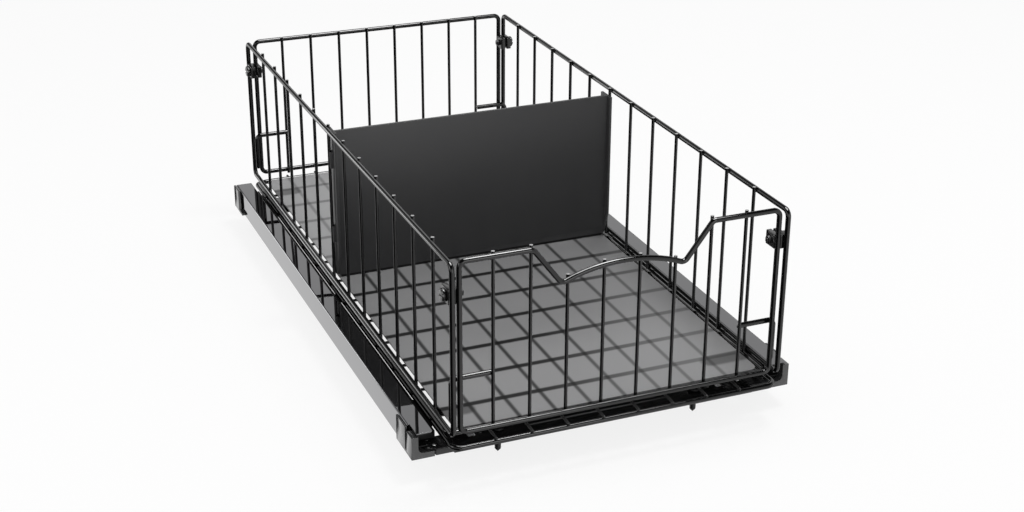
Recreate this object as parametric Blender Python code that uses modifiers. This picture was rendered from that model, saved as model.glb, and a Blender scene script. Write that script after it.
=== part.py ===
"""Under-cabinet pull-out wire basket on two full-extension runners.

Frame: metres, +Z up, +X to the right, the basket pulls out towards -Y.
The origin is midway along the basket, at the level of the screw tips.
"""

import math

import bmesh
import bpy
from mathutils import Matrix, Vector

# Driving dimensions
BASKET_WIDTH = 0.255           # between the wire centres of the side panels
BASKET_LENGTH = 0.540          # between the wire centres of the side panels' posts
PANEL_HEIGHT = 0.129           # bottom wire to top wire, centre to centre
FRAME_WIRE = 0.004
THIN_WIRE = 0.0023
WELD_SINK = 0.0004             # how far welded wires sink into each other
CLEARANCE = 0.0003             # between pieces that touch
SEAT_GAP = 0.0005              # panels above the floor frame
OVERRUN = 0.002                # how far a cutter passes what it cuts

RUNNER_MARGIN = 0.0216         # outside of a cover beyond the side panel's wire centre
RUNNER_SETBACK = 0.021         # runner front behind the basket front
RUNNER_BACK_SETBACK = 0.0113   # runner back in front of the basket back
RUNNER_HEIGHT = 0.0206
COVER_WIDTH = 0.0147
SHEET = 0.001                  # thickness of the folded covers
SLIDE_SHEET = 0.0012           # thickness of the slide members

SCREW_LENGTH = 0.0188
SCREW_DIAMETER = 0.0042
PLATE_SHEET = 0.0015           # cross plates
LOOP_GAP = 0.0005              # between a slide member and the lower floor loop

# Levels, from the screw tips up
UNDERSIDE = SCREW_LENGTH - PLATE_SHEET - CLEARANCE
RUNNER_TOP = UNDERSIDE + RUNNER_HEIGHT
LOOP_DROP = 0.0055             # lower floor loop below the runners' top
LOWER_LOOP_Z = RUNNER_TOP - LOOP_DROP
CROSS_WIRE_Z = LOWER_LOOP_Z + (FRAME_WIRE + THIN_WIRE) / 2 - WELD_SINK
LONG_WIRE_Z = CROSS_WIRE_Z + THIN_WIRE - WELD_SINK
UPPER_LOOP_Z = CROSS_WIRE_Z + (FRAME_WIRE + THIN_WIRE) / 2 - WELD_SINK
PANEL_Z = UPPER_LOOP_Z + FRAME_WIRE + SEAT_GAP
END_PANEL_LIFT = 0.0012        # front and back panels above the side panels
END_PANEL_Z = PANEL_Z + END_PANEL_LIFT

# Wire panels
SIDE_UPRIGHTS = 12
SIDE_END_GAP = 0.0445          # from a side panel's post to its first upright
END_UPRIGHTS = 8
END_EDGE_GAP = 0.03125         # from a side panel to the end panels' first upright
UPRIGHT_OVERRUN = 0.0006       # upright tips past the frame wire
PANEL_BEND = 0.005             # centre-line radius of the panels' corners
END_PANEL_INSET = 0.0059       # end panels' posts inside the side panels
END_PANEL_SETBACK = 0.0023     # end panels behind the side panels' posts
FLOOR_BEND = 0.0075
UPPER_LOOP_SETBACK = 0.013     # upper floor loop behind the lower one
CROSS_WIRE_OVERHANG = 0.0017

# Scoop in the front panel's top wire
SCOOP_HALF_WIDTH = 0.0683
SCOOP_FOOT_HALF_WIDTH = 0.047
SCOOP_DEPTH = 0.0283
SCOOP_ARCH_RISE = 0.0095

HALF_WIDTH = BASKET_WIDTH / 2
HALF_LENGTH = BASKET_LENGTH / 2
HALF_SPAN = HALF_WIDTH + RUNNER_MARGIN
BASKET_FRONT = -HALF_LENGTH
RUNNER_FRONT = BASKET_FRONT + RUNNER_SETBACK
RUNNER_BACK = HALF_LENGTH - RUNNER_BACK_SETBACK
RUNNER_ENDS = {"front": RUNNER_FRONT, "back": RUNNER_BACK}
SIDE_PITCH = (BASKET_LENGTH - 2 * SIDE_END_GAP) / (SIDE_UPRIGHTS - 1)
END_PITCH = (BASKET_WIDTH - 2 * END_EDGE_GAP) / (END_UPRIGHTS - 1)
UPRIGHT_INSET = (FRAME_WIRE + THIN_WIRE) / 2 - WELD_SINK

SIDES = {"left": -1, "right": 1}
ENDS = {"front": -1, "back": 1}


# Scene, collections and materials

for old in list(bpy.data.objects):
    bpy.data.objects.remove(old, do_unlink=True)


def new_collection(name):
    collection = bpy.data.collections.new(name)
    bpy.context.scene.collection.children.link(collection)
    return collection


PARTS = new_collection("pull_out_basket")
CUTTERS = new_collection("cutters_and_guides")


def new_material(name, color, roughness, metallic):
    material = bpy.data.materials.new(name)
    material.use_nodes = True
    shader = material.node_tree.nodes["Principled BSDF"]
    shader.inputs["Base Color"].default_value = (*color, 1)
    shader.inputs["Roughness"].default_value = roughness
    shader.inputs["Metallic"].default_value = metallic
    return material


BLACK_WIRE = new_material("black_wire", (0.012, 0.012, 0.013), 0.22, 0)
COVER_STEEL = new_material("cover_steel", (0.42, 0.42, 0.43), 0.12, 0.9)
SLIDE_STEEL = new_material("slide_steel", (0.02, 0.02, 0.021), 0.35, 0)
DARK_PLASTIC = new_material("dark_plastic", (0.07, 0.07, 0.073), 0.4, 0)
BLACK_SHEET = new_material("black_sheet", (0.015, 0.015, 0.016), 0.35, 0)
BLACK_PLASTIC = new_material("black_plastic", (0.01, 0.01, 0.01), 0.3, 0)
SCREW_STEEL = new_material("screw_steel", (0.03, 0.03, 0.032), 0.35, 0.6)
CHARCOAL = new_material("charcoal_plastic", (0.028, 0.028, 0.03), 0.42, 0)
FROSTED = new_material("frosted_mat", (0.35, 0.35, 0.36), 0.5, 0)


# Modelling helpers

def new_empty(name, location, parent=None):
    empty = bpy.data.objects.new(name, None)
    empty.empty_display_size = FRAME_WIRE
    empty.location = location
    empty.parent = parent
    PARTS.objects.link(empty)
    return empty


def carry(parent, child):
    """Parent the child and leave it where it stands."""
    bpy.context.view_layer.update()
    child.parent = parent
    child.matrix_parent_inverse = parent.matrix_world.inverted()


def finish(name, mesh, material, parent=None, location=(0, 0, 0)):
    """Make the named part from its mesh."""
    part = bpy.data.objects.new(name, mesh)
    part.location = location
    mesh.materials.clear()
    mesh.materials.append(material)
    mesh.shade_smooth()
    mesh.set_sharp_from_angle(angle=math.radians(40))
    PARTS.objects.link(part)
    if parent:
        carry(parent, part)
    return part


def make_cutter(name, mesh):
    cutter = bpy.data.objects.new(name, mesh)
    cutter.hide_render = True
    cutter.display_type = "WIRE"
    CUTTERS.objects.link(cutter)
    return cutter


def combine(part, tool, operation):
    modifier = part.modifiers.new(f"{operation.lower()}_{tool.name}", "BOOLEAN")
    modifier.operation = operation
    modifier.solver = "EXACT"
    modifier.object = tool


def weld(part, name, mesh):
    combine(part, make_cutter(name, mesh), "UNION")


def cut(part, name, mesh):
    combine(part, make_cutter(name, mesh), "DIFFERENCE")


def solid_mesh(curve_object):
    """Turn a curve object into a mesh with welded caps, and drop the curve."""
    bpy.context.view_layer.update()
    depsgraph = bpy.context.evaluated_depsgraph_get()
    mesh = bpy.data.meshes.new_from_object(curve_object.evaluated_get(depsgraph))
    mesh.transform(curve_object.matrix_world)
    work = bmesh.new()
    work.from_mesh(mesh)
    bmesh.ops.remove_doubles(work, verts=work.verts, dist=CLEARANCE / 30)
    bmesh.ops.recalc_face_normals(work, faces=work.faces)
    work.to_mesh(mesh)
    work.free()
    bpy.data.objects.remove(curve_object, do_unlink=True)
    return mesh


def round_corners(points, radius, closed=False, steps=3):
    """Replace each corner of a polyline with an arc of the given radius."""
    points = [Vector(p) for p in points]
    count = len(points)
    result = []
    for i, corner in enumerate(points):
        if not closed and i in (0, count - 1):
            result.append(corner)
            continue
        before = (points[i - 1] - corner).normalized()
        after = (points[(i + 1) % count] - corner).normalized()
        half = before.angle(after) / 2
        start = corner + before * radius / math.tan(half)
        end = corner + after * radius / math.tan(half)
        centre = corner + (before + after).normalized() * radius / math.sin(half)
        for step in range(steps + 1):
            share = step / steps
            arm = (start - centre).lerp(end - centre, share).normalized() * radius
            result.append(centre + arm)
    return result


def wire_mesh(routes, diameter, closed=False, resolution=2):
    """Round wires along polylines, as one mesh of separate bodies."""
    curve = bpy.data.curves.new("wire", "CURVE")
    curve.dimensions = "3D"
    curve.bevel_depth = diameter / 2
    curve.bevel_resolution = resolution
    curve.use_fill_caps = True
    for route in routes:
        spline = curve.splines.new("POLY")
        spline.points.add(len(route) - 1)
        for point, place in zip(spline.points, route):
            point.co = (*place, 1)
        spline.use_cyclic_u = closed
    wire = bpy.data.objects.new("wire", curve)
    PARTS.objects.link(wire)
    return solid_mesh(wire)


def slab_mesh(outlines, depth, turn=Matrix()):
    """Flat outlines in XY (the first is the rim, the rest are holes), extruded up."""
    curve = bpy.data.curves.new("slab", "CURVE")
    curve.dimensions = "2D"
    curve.fill_mode = "BOTH"
    curve.extrude = depth / 2
    for outline in outlines:
        spline = curve.splines.new("POLY")
        spline.points.add(len(outline) - 1)
        for point, place in zip(spline.points, outline):
            point.co = (place[0], place[1], 0, 1)
        spline.use_cyclic_u = True
    slab = bpy.data.objects.new("slab", curve)
    slab.matrix_world = turn @ Matrix.Translation((0, 0, depth / 2))
    PARTS.objects.link(slab)
    return solid_mesh(slab)


def box_mesh(low, high):
    low, high = Vector(low), Vector(high)
    work = bmesh.new()
    size = high - low
    place = Matrix.Translation((low + high) / 2) @ Matrix.Diagonal((*size, 1))
    bmesh.ops.create_cube(work, size=1, matrix=place)
    mesh = bpy.data.meshes.new("box")
    work.to_mesh(mesh)
    work.free()
    return mesh


def cylinder_mesh(diameter, start, end, segments=24):
    start, end = Vector(start), Vector(end)
    axis = end - start
    turn = axis.to_track_quat("Z", "Y").to_matrix().to_4x4()
    work = bmesh.new()
    bmesh.ops.create_cone(
        work, cap_ends=True, segments=segments, radius1=diameter / 2, radius2=diameter / 2,
        depth=axis.length, matrix=Matrix.Translation((start + end) / 2) @ turn,
    )
    mesh = bpy.data.meshes.new("cylinder")
    work.to_mesh(mesh)
    work.free()
    return mesh


def sided(side, low, high):
    """A box given for the right side, mirrored for the left."""
    xs = sorted((side * low[0], side * high[0]))
    return box_mesh((xs[0], low[1], low[2]), (xs[1], high[1], high[2]))


def folded_sheet(name, side, profile, y_start, y_end, thickness, material, parent):
    """A sheet folded along an outer skin profile of (x, z), run along Y."""
    profile = [(side * x, z) for x, z in profile]
    if side < 0:
        profile.reverse()
    work = bmesh.new()
    rows = [
        [work.verts.new((x, y, z)) for x, z in profile]
        for y in (y_start, y_end)
    ]
    for i in range(len(profile) - 1):
        work.faces.new((rows[0][i], rows[0][i + 1], rows[1][i + 1], rows[1][i]))
    mesh = bpy.data.meshes.new(name)
    work.to_mesh(mesh)
    work.free()
    part = finish(name, mesh, material, parent)
    solidify = part.modifiers.new("sheet", "SOLIDIFY")
    solidify.thickness = thickness
    solidify.offset = -1
    solidify.use_even_offset = True
    return part


def turned_mesh(profile, segments=24):
    """A profile of (radius, height), top to bottom, turned about Z."""
    work = bmesh.new()
    verts = [work.verts.new((r, 0, z)) for r, z in profile]
    for a, b in zip(verts, verts[1:]):
        work.edges.new((a, b))
    mesh = bpy.data.meshes.new("profile")
    work.to_mesh(mesh)
    work.free()
    spun = bpy.data.objects.new("profile", mesh)
    screw = spun.modifiers.new("turn", "SCREW")
    screw.steps = segments
    screw.render_steps = segments
    screw.use_merge_vertices = True
    screw.merge_threshold = CLEARANCE / 30
    CUTTERS.objects.link(spun)
    return solid_mesh(spun)


def rounded_outline(low, high, radius, steps=3):
    corners = [
        (low[0], low[1], 0),
        (high[0], low[1], 0),
        (high[0], high[1], 0),
        (low[0], high[1], 0),
    ]
    return round_corners(corners, radius, closed=True, steps=steps)


def centred_row(count, pitch):
    return [(i - (count - 1) / 2) * pitch for i in range(count)]


# Bodies: the fixed runners, the intermediate members, the basket and the divider

runners = new_empty("runners", (0, RUNNER_FRONT, UNDERSIDE))
left_mid_slide = new_empty("left_mid_slide", (-HALF_SPAN, RUNNER_FRONT, RUNNER_TOP), runners)
right_mid_slide = new_empty("right_mid_slide", (HALF_SPAN, RUNNER_FRONT, RUNNER_TOP), runners)
basket_slide = new_empty("basket_slide", (0, BASKET_FRONT, LOWER_LOOP_Z), runners)
for slide in (left_mid_slide, right_mid_slide, basket_slide):
    slide.location = slide.location - runners.location
bpy.context.view_layer.update()


# Runner brackets: a moulded foot at each end of each runner. The front one has a
# wall, a dark gap and a sleeve pad outside the cover, the rear one an end wall.

BRACKET_PROUD = 0.0019         # front bracket's outer face beyond the cover
BRACKET_WALL = 0.005
BRACKET_TOP_DROP = 0.003
BRACKET_FRONT_DEPTH = 0.0114
BRACKET_FLOOR = 0.0019         # thin floor that passes under the cover's wall
BRACKET_LEG = 0.0044           # thicker leg inside the cover
BRACKET_FILLET = 0.004
PAD_GAP = 0.0031
PAD_DEPTH = 0.019
PAD_TOP_DROP = 0.0009
REAR_WALL_DEPTH = 0.0162
REAR_SLOT = 0.011              # slot in the cover in front of the rear wall
SLOT_CORNER = 0.0015
REAR_PROUD = 0.0025            # rear bracket's outer face beyond the cover
LEG_PROUD = 0.0006             # legs past the cover's inner lip

BRACKET_OUTSIDE = HALF_SPAN + BRACKET_PROUD
REAR_OUTSIDE = HALF_SPAN + REAR_PROUD
COVER_INSIDE = HALF_SPAN - COVER_WIDTH
LEG_INSIDE = COVER_INSIDE - LEG_PROUD
LEG_TOP = UNDERSIDE + BRACKET_LEG
LEG_OUTSIDE = HALF_SPAN - SHEET - CLEARANCE
FLOOR_TOP = UNDERSIDE + BRACKET_FLOOR
BRACKET_BACK = RUNNER_FRONT + BRACKET_FRONT_DEPTH
PAD_FRONT = BRACKET_BACK + PAD_GAP
PAD_BACK = PAD_FRONT + PAD_DEPTH
REAR_WALL_FRONT = RUNNER_BACK - REAR_WALL_DEPTH
REAR_FRONT = REAR_WALL_FRONT - REAR_SLOT
PAD_INSIDE = HALF_SPAN + CLEARANCE

for label, side in SIDES.items():
    inner_wall = BRACKET_OUTSIDE - BRACKET_WALL
    fillet = [
        (inner_wall, RUNNER_TOP - BRACKET_TOP_DROP, 0),
        (inner_wall, LEG_TOP, 0),
        (LEG_INSIDE, LEG_TOP, 0),
    ]
    foot = [
        *round_corners(fillet, BRACKET_FILLET, steps=5),
        (LEG_INSIDE, UNDERSIDE, 0),
        (BRACKET_OUTSIDE, UNDERSIDE, 0),
        (BRACKET_OUTSIDE, RUNNER_TOP - BRACKET_TOP_DROP, 0),
    ]
    stand_up = Matrix.Translation((0, BRACKET_BACK, 0)) @ Matrix.Rotation(math.radians(90), 4, "X")
    bracket = finish(
        f"{label}_front_bracket",
        slab_mesh([[(side * p[0], p[1]) for p in foot]], BRACKET_FRONT_DEPTH, stand_up),
        DARK_PLASTIC, runners,
    )
    weld(bracket, f"{label}_front_floor", sided(
        side, (LEG_INSIDE, BRACKET_BACK - CLEARANCE, UNDERSIDE), (BRACKET_OUTSIDE, PAD_BACK, FLOOR_TOP)))
    weld(bracket, f"{label}_front_leg", sided(
        side, (LEG_INSIDE, BRACKET_BACK - CLEARANCE, UNDERSIDE), (LEG_OUTSIDE, PAD_BACK, LEG_TOP)))
    weld(bracket, f"{label}_front_pad", sided(
        side, (PAD_INSIDE, PAD_FRONT, UNDERSIDE), (BRACKET_OUTSIDE, PAD_BACK, RUNNER_TOP - PAD_TOP_DROP)))

    rear = finish(f"{label}_rear_bracket", sided(
        side, (LEG_INSIDE, REAR_FRONT, UNDERSIDE), (REAR_OUTSIDE, RUNNER_BACK, FLOOR_TOP)),
        DARK_PLASTIC, runners)
    weld(rear, f"{label}_rear_leg", sided(
        side, (LEG_INSIDE, REAR_FRONT, UNDERSIDE), (LEG_OUTSIDE, RUNNER_BACK, LEG_TOP)))
    weld(rear, f"{label}_rear_wall", sided(
        side, (PAD_INSIDE, REAR_WALL_FRONT, UNDERSIDE), (REAR_OUTSIDE, RUNNER_BACK, RUNNER_TOP)))


# Runner covers: a folded sheet with a flat top, an outer wall and an inner lip,
# notched over the brackets and slotted near the rear.

COVER_LIP = 0.0026
COVER_HEIGHT = 0.0202
COVER_TRIM = 0.0019            # the top is narrower over the front bracket
COVER_CORNER = 0.0025          # front inner corner of the top, seen from above

COVER_BOTTOM = RUNNER_TOP - COVER_HEIGHT
COVER_WALL_FRONT = PAD_FRONT + CLEARANCE

for label, side in SIDES.items():
    cover = folded_sheet(
        f"{label}_rail_cover", side,
        [
            (COVER_INSIDE, RUNNER_TOP - COVER_LIP),
            (COVER_INSIDE, RUNNER_TOP),
            (HALF_SPAN, RUNNER_TOP),
            (HALF_SPAN, COVER_BOTTOM),
        ],
        RUNNER_FRONT, RUNNER_BACK, SHEET, COVER_STEEL, runners,
    )
    cut(cover, f"{label}_front_notch", sided(
        side, (HALF_SPAN - COVER_TRIM, RUNNER_FRONT - OVERRUN, COVER_BOTTOM - OVERRUN),
        (HALF_SPAN + OVERRUN, COVER_WALL_FRONT, RUNNER_TOP + OVERRUN)))
    cut(cover, f"{label}_pad_notch", sided(
        side, (HALF_SPAN - SHEET - OVERRUN, RUNNER_FRONT - OVERRUN, COVER_BOTTOM - OVERRUN),
        (HALF_SPAN + OVERRUN, PAD_BACK + CLEARANCE, FLOOR_TOP + CLEARANCE)))
    cut(cover, f"{label}_rear_notch", sided(
        side, (HALF_SPAN - SHEET - OVERRUN, REAR_FRONT - CLEARANCE, COVER_BOTTOM - OVERRUN),
        (HALF_SPAN + OVERRUN, RUNNER_BACK + OVERRUN, FLOOR_TOP + CLEARANCE)))
    corner = round_corners([
        (side * COVER_INSIDE, RUNNER_FRONT + COVER_CORNER + OVERRUN, 0),
        (side * COVER_INSIDE, RUNNER_FRONT, 0),
        (side * (COVER_INSIDE + COVER_CORNER + OVERRUN), RUNNER_FRONT, 0),
    ], COVER_CORNER)[1:-1]
    corner += [
        (side * (COVER_INSIDE + COVER_CORNER), RUNNER_FRONT - OVERRUN, 0),
        (side * (COVER_INSIDE - OVERRUN), RUNNER_FRONT - OVERRUN, 0),
        (side * (COVER_INSIDE - OVERRUN), RUNNER_FRONT + COVER_CORNER, 0),
    ]
    cut(cover, f"{label}_front_corner", slab_mesh(
        [corner], COVER_HEIGHT + 2 * OVERRUN, Matrix.Translation((0, 0, COVER_BOTTOM - OVERRUN))))
    slot_low = FLOOR_TOP + CLEARANCE
    slot_high = RUNNER_TOP - PAD_TOP_DROP
    slot_outline = [
        (REAR_FRONT, slot_low - OVERRUN, 0),
        (REAR_WALL_FRONT, slot_low - OVERRUN, 0),
        (REAR_WALL_FRONT, slot_high, 0),
        (REAR_FRONT, slot_high, 0),
    ]
    rounded = round_corners(slot_outline, SLOT_CORNER, closed=True, steps=4)
    lay_on_wall = Matrix.Rotation(math.radians(90), 4, "Z") @ Matrix.Rotation(math.radians(90), 4, "X")
    shift = Matrix.Translation((side * HALF_SPAN - SHEET * 2, 0, 0))
    cut(cover, f"{label}_rear_slot", slab_mesh([rounded], SHEET * 4, shift @ lay_on_wall))


# Slide members: a fixed channel, an intermediate channel and an inner channel
# with three sheet tabs that reach in under the floor frame.

CHANNEL_DEPTH = 0.0102
CHANNEL_TOP_GAP = 0.0014
CHANNEL_FRONT = PAD_FRONT + CLEARANCE
CHANNEL_BACK_GAP = 0.014       # fixed channel's back in front of the runner's back
MEMBER_BACK_GAP = 0.0309       # the same for the intermediate channel
BALL_GAP = 0.0009              # room for the balls between two members
WEB_GAP = 0.001
MID_SETBACK = 0.004            # intermediate channel's front behind the runner's front
INNER_SETBACK = 0.0154
INNER_BACK_GAP = 0.0093

TAB_REACH = 0.039              # from the inner channel's web to the tab's tip
TAB_SETBACK = 0.062            # first and last tab's middle from the basket's ends
TAB_ROOT = 0.046
TAB_WIDTH = 0.016
MID_TAB_REACH = 0.0103

CHANNEL_OUTSIDE = HALF_SPAN - SHEET - CLEARANCE
CHANNEL_TOP = RUNNER_TOP - CHANNEL_TOP_GAP
CHANNEL_BOTTOM = LEG_TOP + CLEARANCE
MID_OUTSIDE = BRACKET_OUTSIDE - BRACKET_WALL - 2 * CLEARANCE
MID_TOP = CHANNEL_TOP - SLIDE_SHEET - BALL_GAP
MID_BOTTOM = CHANNEL_BOTTOM + SLIDE_SHEET + BALL_GAP
INNER_OUTSIDE = MID_OUTSIDE - SLIDE_SHEET - WEB_GAP
INNER_TOP = MID_TOP - SLIDE_SHEET - BALL_GAP
INNER_BOTTOM = MID_BOTTOM + SLIDE_SHEET + BALL_GAP
INNER_WEB = HALF_WIDTH + FRAME_WIRE / 2 + LOOP_GAP
TAB_TOP = LOWER_LOOP_Z - FRAME_WIRE / 2 - CLEARANCE
mid_front = RUNNER_FRONT + MID_SETBACK
inner_front = RUNNER_FRONT + INNER_SETBACK

for label, side in SIDES.items():
    folded_sheet(
        f"{label}_outer_channel", side,
        [
            (CHANNEL_OUTSIDE - CHANNEL_DEPTH, CHANNEL_TOP),
            (CHANNEL_OUTSIDE, CHANNEL_TOP),
            (CHANNEL_OUTSIDE, CHANNEL_BOTTOM),
            (CHANNEL_OUTSIDE - CHANNEL_DEPTH, CHANNEL_BOTTOM),
        ],
        CHANNEL_FRONT, RUNNER_BACK - CHANNEL_BACK_GAP, SLIDE_SHEET, SLIDE_STEEL, runners,
    )
    mid_slide = left_mid_slide if side < 0 else right_mid_slide
    folded_sheet(
        f"{label}_mid_channel", side,
        [
            (CHANNEL_OUTSIDE - CHANNEL_DEPTH, MID_TOP),
            (MID_OUTSIDE, MID_TOP),
            (MID_OUTSIDE, MID_BOTTOM),
            (CHANNEL_OUTSIDE - CHANNEL_DEPTH, MID_BOTTOM),
        ],
        mid_front, RUNNER_BACK - MEMBER_BACK_GAP, SLIDE_SHEET, SLIDE_STEEL, mid_slide,
    )
    inner = folded_sheet(
        f"{label}_inner_channel", side,
        [
            (INNER_OUTSIDE, INNER_BOTTOM),
            (INNER_WEB, INNER_BOTTOM),
            (INNER_WEB, INNER_TOP),
            (INNER_OUTSIDE, INNER_TOP),
        ],
        inner_front, RUNNER_BACK - INNER_BACK_GAP, SLIDE_SHEET, SLIDE_STEEL, basket_slide,
    )
    root = INNER_WEB + SLIDE_SHEET / 2
    tip = INNER_WEB - TAB_REACH
    lower = Matrix.Translation((0, 0, TAB_TOP - SLIDE_SHEET))
    for end, way in ENDS.items():
        y = way * (HALF_LENGTH - TAB_SETBACK)
        tab = [
            (root, y - TAB_ROOT / 2, 0),
            (root, y + TAB_ROOT / 2, 0),
            (root - (TAB_REACH - TAB_WIDTH) / 2, y + TAB_WIDTH / 2, 0),
            (tip, y + TAB_WIDTH / 2, 0),
            (tip, y - TAB_WIDTH / 2, 0),
            (root - (TAB_REACH - TAB_WIDTH) / 2, y - TAB_WIDTH / 2, 0),
        ]
        rounded_tip = round_corners(tab[2:6], TAB_WIDTH / 2 - CLEARANCE / 3, steps=5)
        blunt = [*tab[:3], *rounded_tip[1:-1], tab[5]]
        weld(inner, f"{label}_{end}_tab", slab_mesh(
            [[(side * p[0], p[1]) for p in blunt]], SLIDE_SHEET, lower))
    weld(inner, f"{label}_middle_tab", sided(
        side, (INNER_WEB - MID_TAB_REACH, -TAB_WIDTH / 2, TAB_TOP - SLIDE_SHEET),
        (root, TAB_WIDTH / 2, TAB_TOP)))


# Cross plates: sheet straps between the brackets, with a pressed rib, a square slot,
# a small hole and a screw hole at each side. Each end steps up, has a flange along its
# outer edge and a rounded ear that lies on the bracket's leg.

PLATE_DEPTH = 0.027
PLATE_PROUD = 0.001            # plate's edge beyond the runner's end
SCREW_INSET = 0.054            # from the flange's end
SCREW_Y_IN = 0.018             # screw line behind the plate's outer edge
SLOT_INSET = 0.033
SLOT_SIZE = 0.0055
PIN_INSET = 0.041
PIN_DIAMETER = 0.0026
RIB_INSET = 0.0745
RIB_WIDTH = 0.008
RIB_HEIGHT = 0.0011
RIB_CORNER_SHARE = 0.45        # of the rib's width
STEP_INSET = 0.0155            # from the flange's end to the step up
END_DEPTH = 0.0174             # raised ends, from the plate's outer edge
FLANGE_RISE = 0.0013           # flange's foot above the runners' underside
FLANGE_BEND = 0.0004           # flange before the sheet's edge and below its top
EAR_REACH = 0.0072             # ear past the flange's end
EAR_WIDTH = 0.0086
EAR_SETBACK = 0.0065           # ear's middle behind the plate's outer edge
EAR_STEPS = 6
SHOULDER_REACH = 0.0037        # square shoulder behind the ear
EAR_HOLE_INSET = 0.0013        # from the flange's end
EAR_HOLE = 0.0034
SHOULDER_HOLE_OUTSET = 0.0013
SHOULDER_HOLE = 0.0028
SHOULDER_HOLE_SETBACK = 0.0136

PLATE_TOP = UNDERSIDE + PLATE_SHEET
PLATE_HALF = LEG_INSIDE - CLEARANCE
SCREW_X = PLATE_HALF - SCREW_INSET
SLOT_X = PLATE_HALF - SLOT_INSET
PIN_X = PLATE_HALF - PIN_INSET
RIB_HALF = PLATE_HALF - RIB_INSET
STEP_X = PLATE_HALF - STEP_INSET
STEP_BACK_X = STEP_X + PLATE_SHEET
RAISED_LOW = LEG_TOP + CLEARANCE
RAISED_TOP = RAISED_LOW + PLATE_SHEET

ear_radius = EAR_WIDTH / 2
ear_middle = PLATE_HALF + EAR_REACH - ear_radius
shoulder = PLATE_HALF + SHOULDER_REACH
blank_end = PLATE_HALF + EAR_REACH + OVERRUN
blank_half = [
    (STEP_BACK_X, UNDERSIDE),
    (STEP_BACK_X, RAISED_LOW),
    (blank_end, RAISED_LOW),
    (blank_end, RAISED_TOP),
    (STEP_X, RAISED_TOP),
    (STEP_X, PLATE_TOP),
]
blank = [*blank_half, *[(-x, z) for x, z in reversed(blank_half)]]
ear_angles = [math.pi * (i / EAR_STEPS - 0.5) for i in range(EAR_STEPS + 1)]
ear_arc = [
    (ear_middle + ear_radius * math.cos(angle), EAR_SETBACK + ear_radius * math.sin(angle))
    for angle in ear_angles
]
# What the end's outline leaves out: (distance from the middle, behind the outer edge)
end_waste = [
    (PLATE_HALF, -OVERRUN),
    (PLATE_HALF, FLANGE_BEND),
    *ear_arc,
    (shoulder, EAR_SETBACK + ear_radius),
    (shoulder, END_DEPTH),
    (STEP_X - OVERRUN, END_DEPTH),
    (STEP_X - OVERRUN, PLATE_DEPTH + OVERRUN),
    (blank_end + OVERRUN, PLATE_DEPTH + OVERRUN),
    (blank_end + OVERRUN, -OVERRUN),
]
waste_low = UNDERSIDE - OVERRUN
waste_high = RAISED_TOP + OVERRUN
ear_holes = {
    "ear_hole": (PLATE_HALF - EAR_HOLE_INSET, EAR_SETBACK, EAR_HOLE),
    "shoulder_hole": (PLATE_HALF + SHOULDER_HOLE_OUTSET, SHOULDER_HOLE_SETBACK, SHOULDER_HOLE),
}

for label, way in ENDS.items():
    near = RUNNER_ENDS[label] + way * PLATE_PROUD
    flange_ys = sorted((near + way * FLANGE_BEND, near - way * (PLATE_SHEET - FLANGE_BEND)))
    stand_up = Matrix.Translation((0, max(near, near - way * PLATE_DEPTH), 0))
    stand_up @= Matrix.Rotation(math.radians(90), 4, "X")
    plate = finish(
        f"{label}_cross_plate", slab_mesh([blank], PLATE_DEPTH, stand_up), BLACK_SHEET, runners)
    rib_y = near - way * SCREW_Y_IN
    rib = rounded_outline(
        (-RIB_HALF, rib_y - RIB_WIDTH / 2), (RIB_HALF, rib_y + RIB_WIDTH / 2),
        RIB_WIDTH * RIB_CORNER_SHARE)
    weld(plate, f"{label}_rib", slab_mesh(
        [rib], RIB_HEIGHT + PLATE_SHEET / 2, Matrix.Translation((0, 0, UNDERSIDE + PLATE_SHEET / 2))))
    for side_label, side in SIDES.items():
        name = f"{label}_{side_label}"
        cut(plate, f"{name}_end_waste", slab_mesh(
            [[(side * x, near - way * depth) for x, depth in end_waste]],
            waste_high - waste_low, Matrix.Translation((0, 0, waste_low))))
        weld(plate, f"{name}_flange", sided(
            side, (STEP_X + FLANGE_BEND, flange_ys[0], UNDERSIDE + FLANGE_RISE),
            (PLATE_HALF - FLANGE_BEND, flange_ys[1], RAISED_TOP - FLANGE_BEND)))
        low, high = UNDERSIDE - OVERRUN, PLATE_TOP + OVERRUN
        y = near - way * SCREW_Y_IN
        cut(plate, f"{name}_screw_hole", cylinder_mesh(
            SCREW_DIAMETER + 2 * CLEARANCE, (side * SCREW_X, y, low), (side * SCREW_X, y, high), 16))
        cut(plate, f"{name}_pin_hole", cylinder_mesh(
            PIN_DIAMETER, (side * PIN_X, y, low), (side * PIN_X, y, high), 12))
        cut(plate, f"{name}_slot", sided(
            side, (SLOT_X - SLOT_SIZE / 2, y - SLOT_SIZE / 2, low),
            (SLOT_X + SLOT_SIZE / 2, y + SLOT_SIZE / 2, high)))
        for hole, (x, depth, diameter) in ear_holes.items():
            y = near - way * depth
            cut(plate, f"{name}_{hole}", cylinder_mesh(
                diameter, (side * x, y, waste_low), (side * x, y, waste_high), 12))


# Mounting screws: four pan-head wood screws with a cross recess.

HEAD_DIAMETER = 0.0086
HEAD_HEIGHT = 0.0024
HEAD_CROWN_SHARES = ((0.5, 0.96), (0.84, 0.72), (1, 0.3))
POINT_LENGTH = 0.0023
RECESS_WIDTH = 0.0012
RECESS_LENGTH = 0.0046
RECESS_DEPTH = 0.0012

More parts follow.
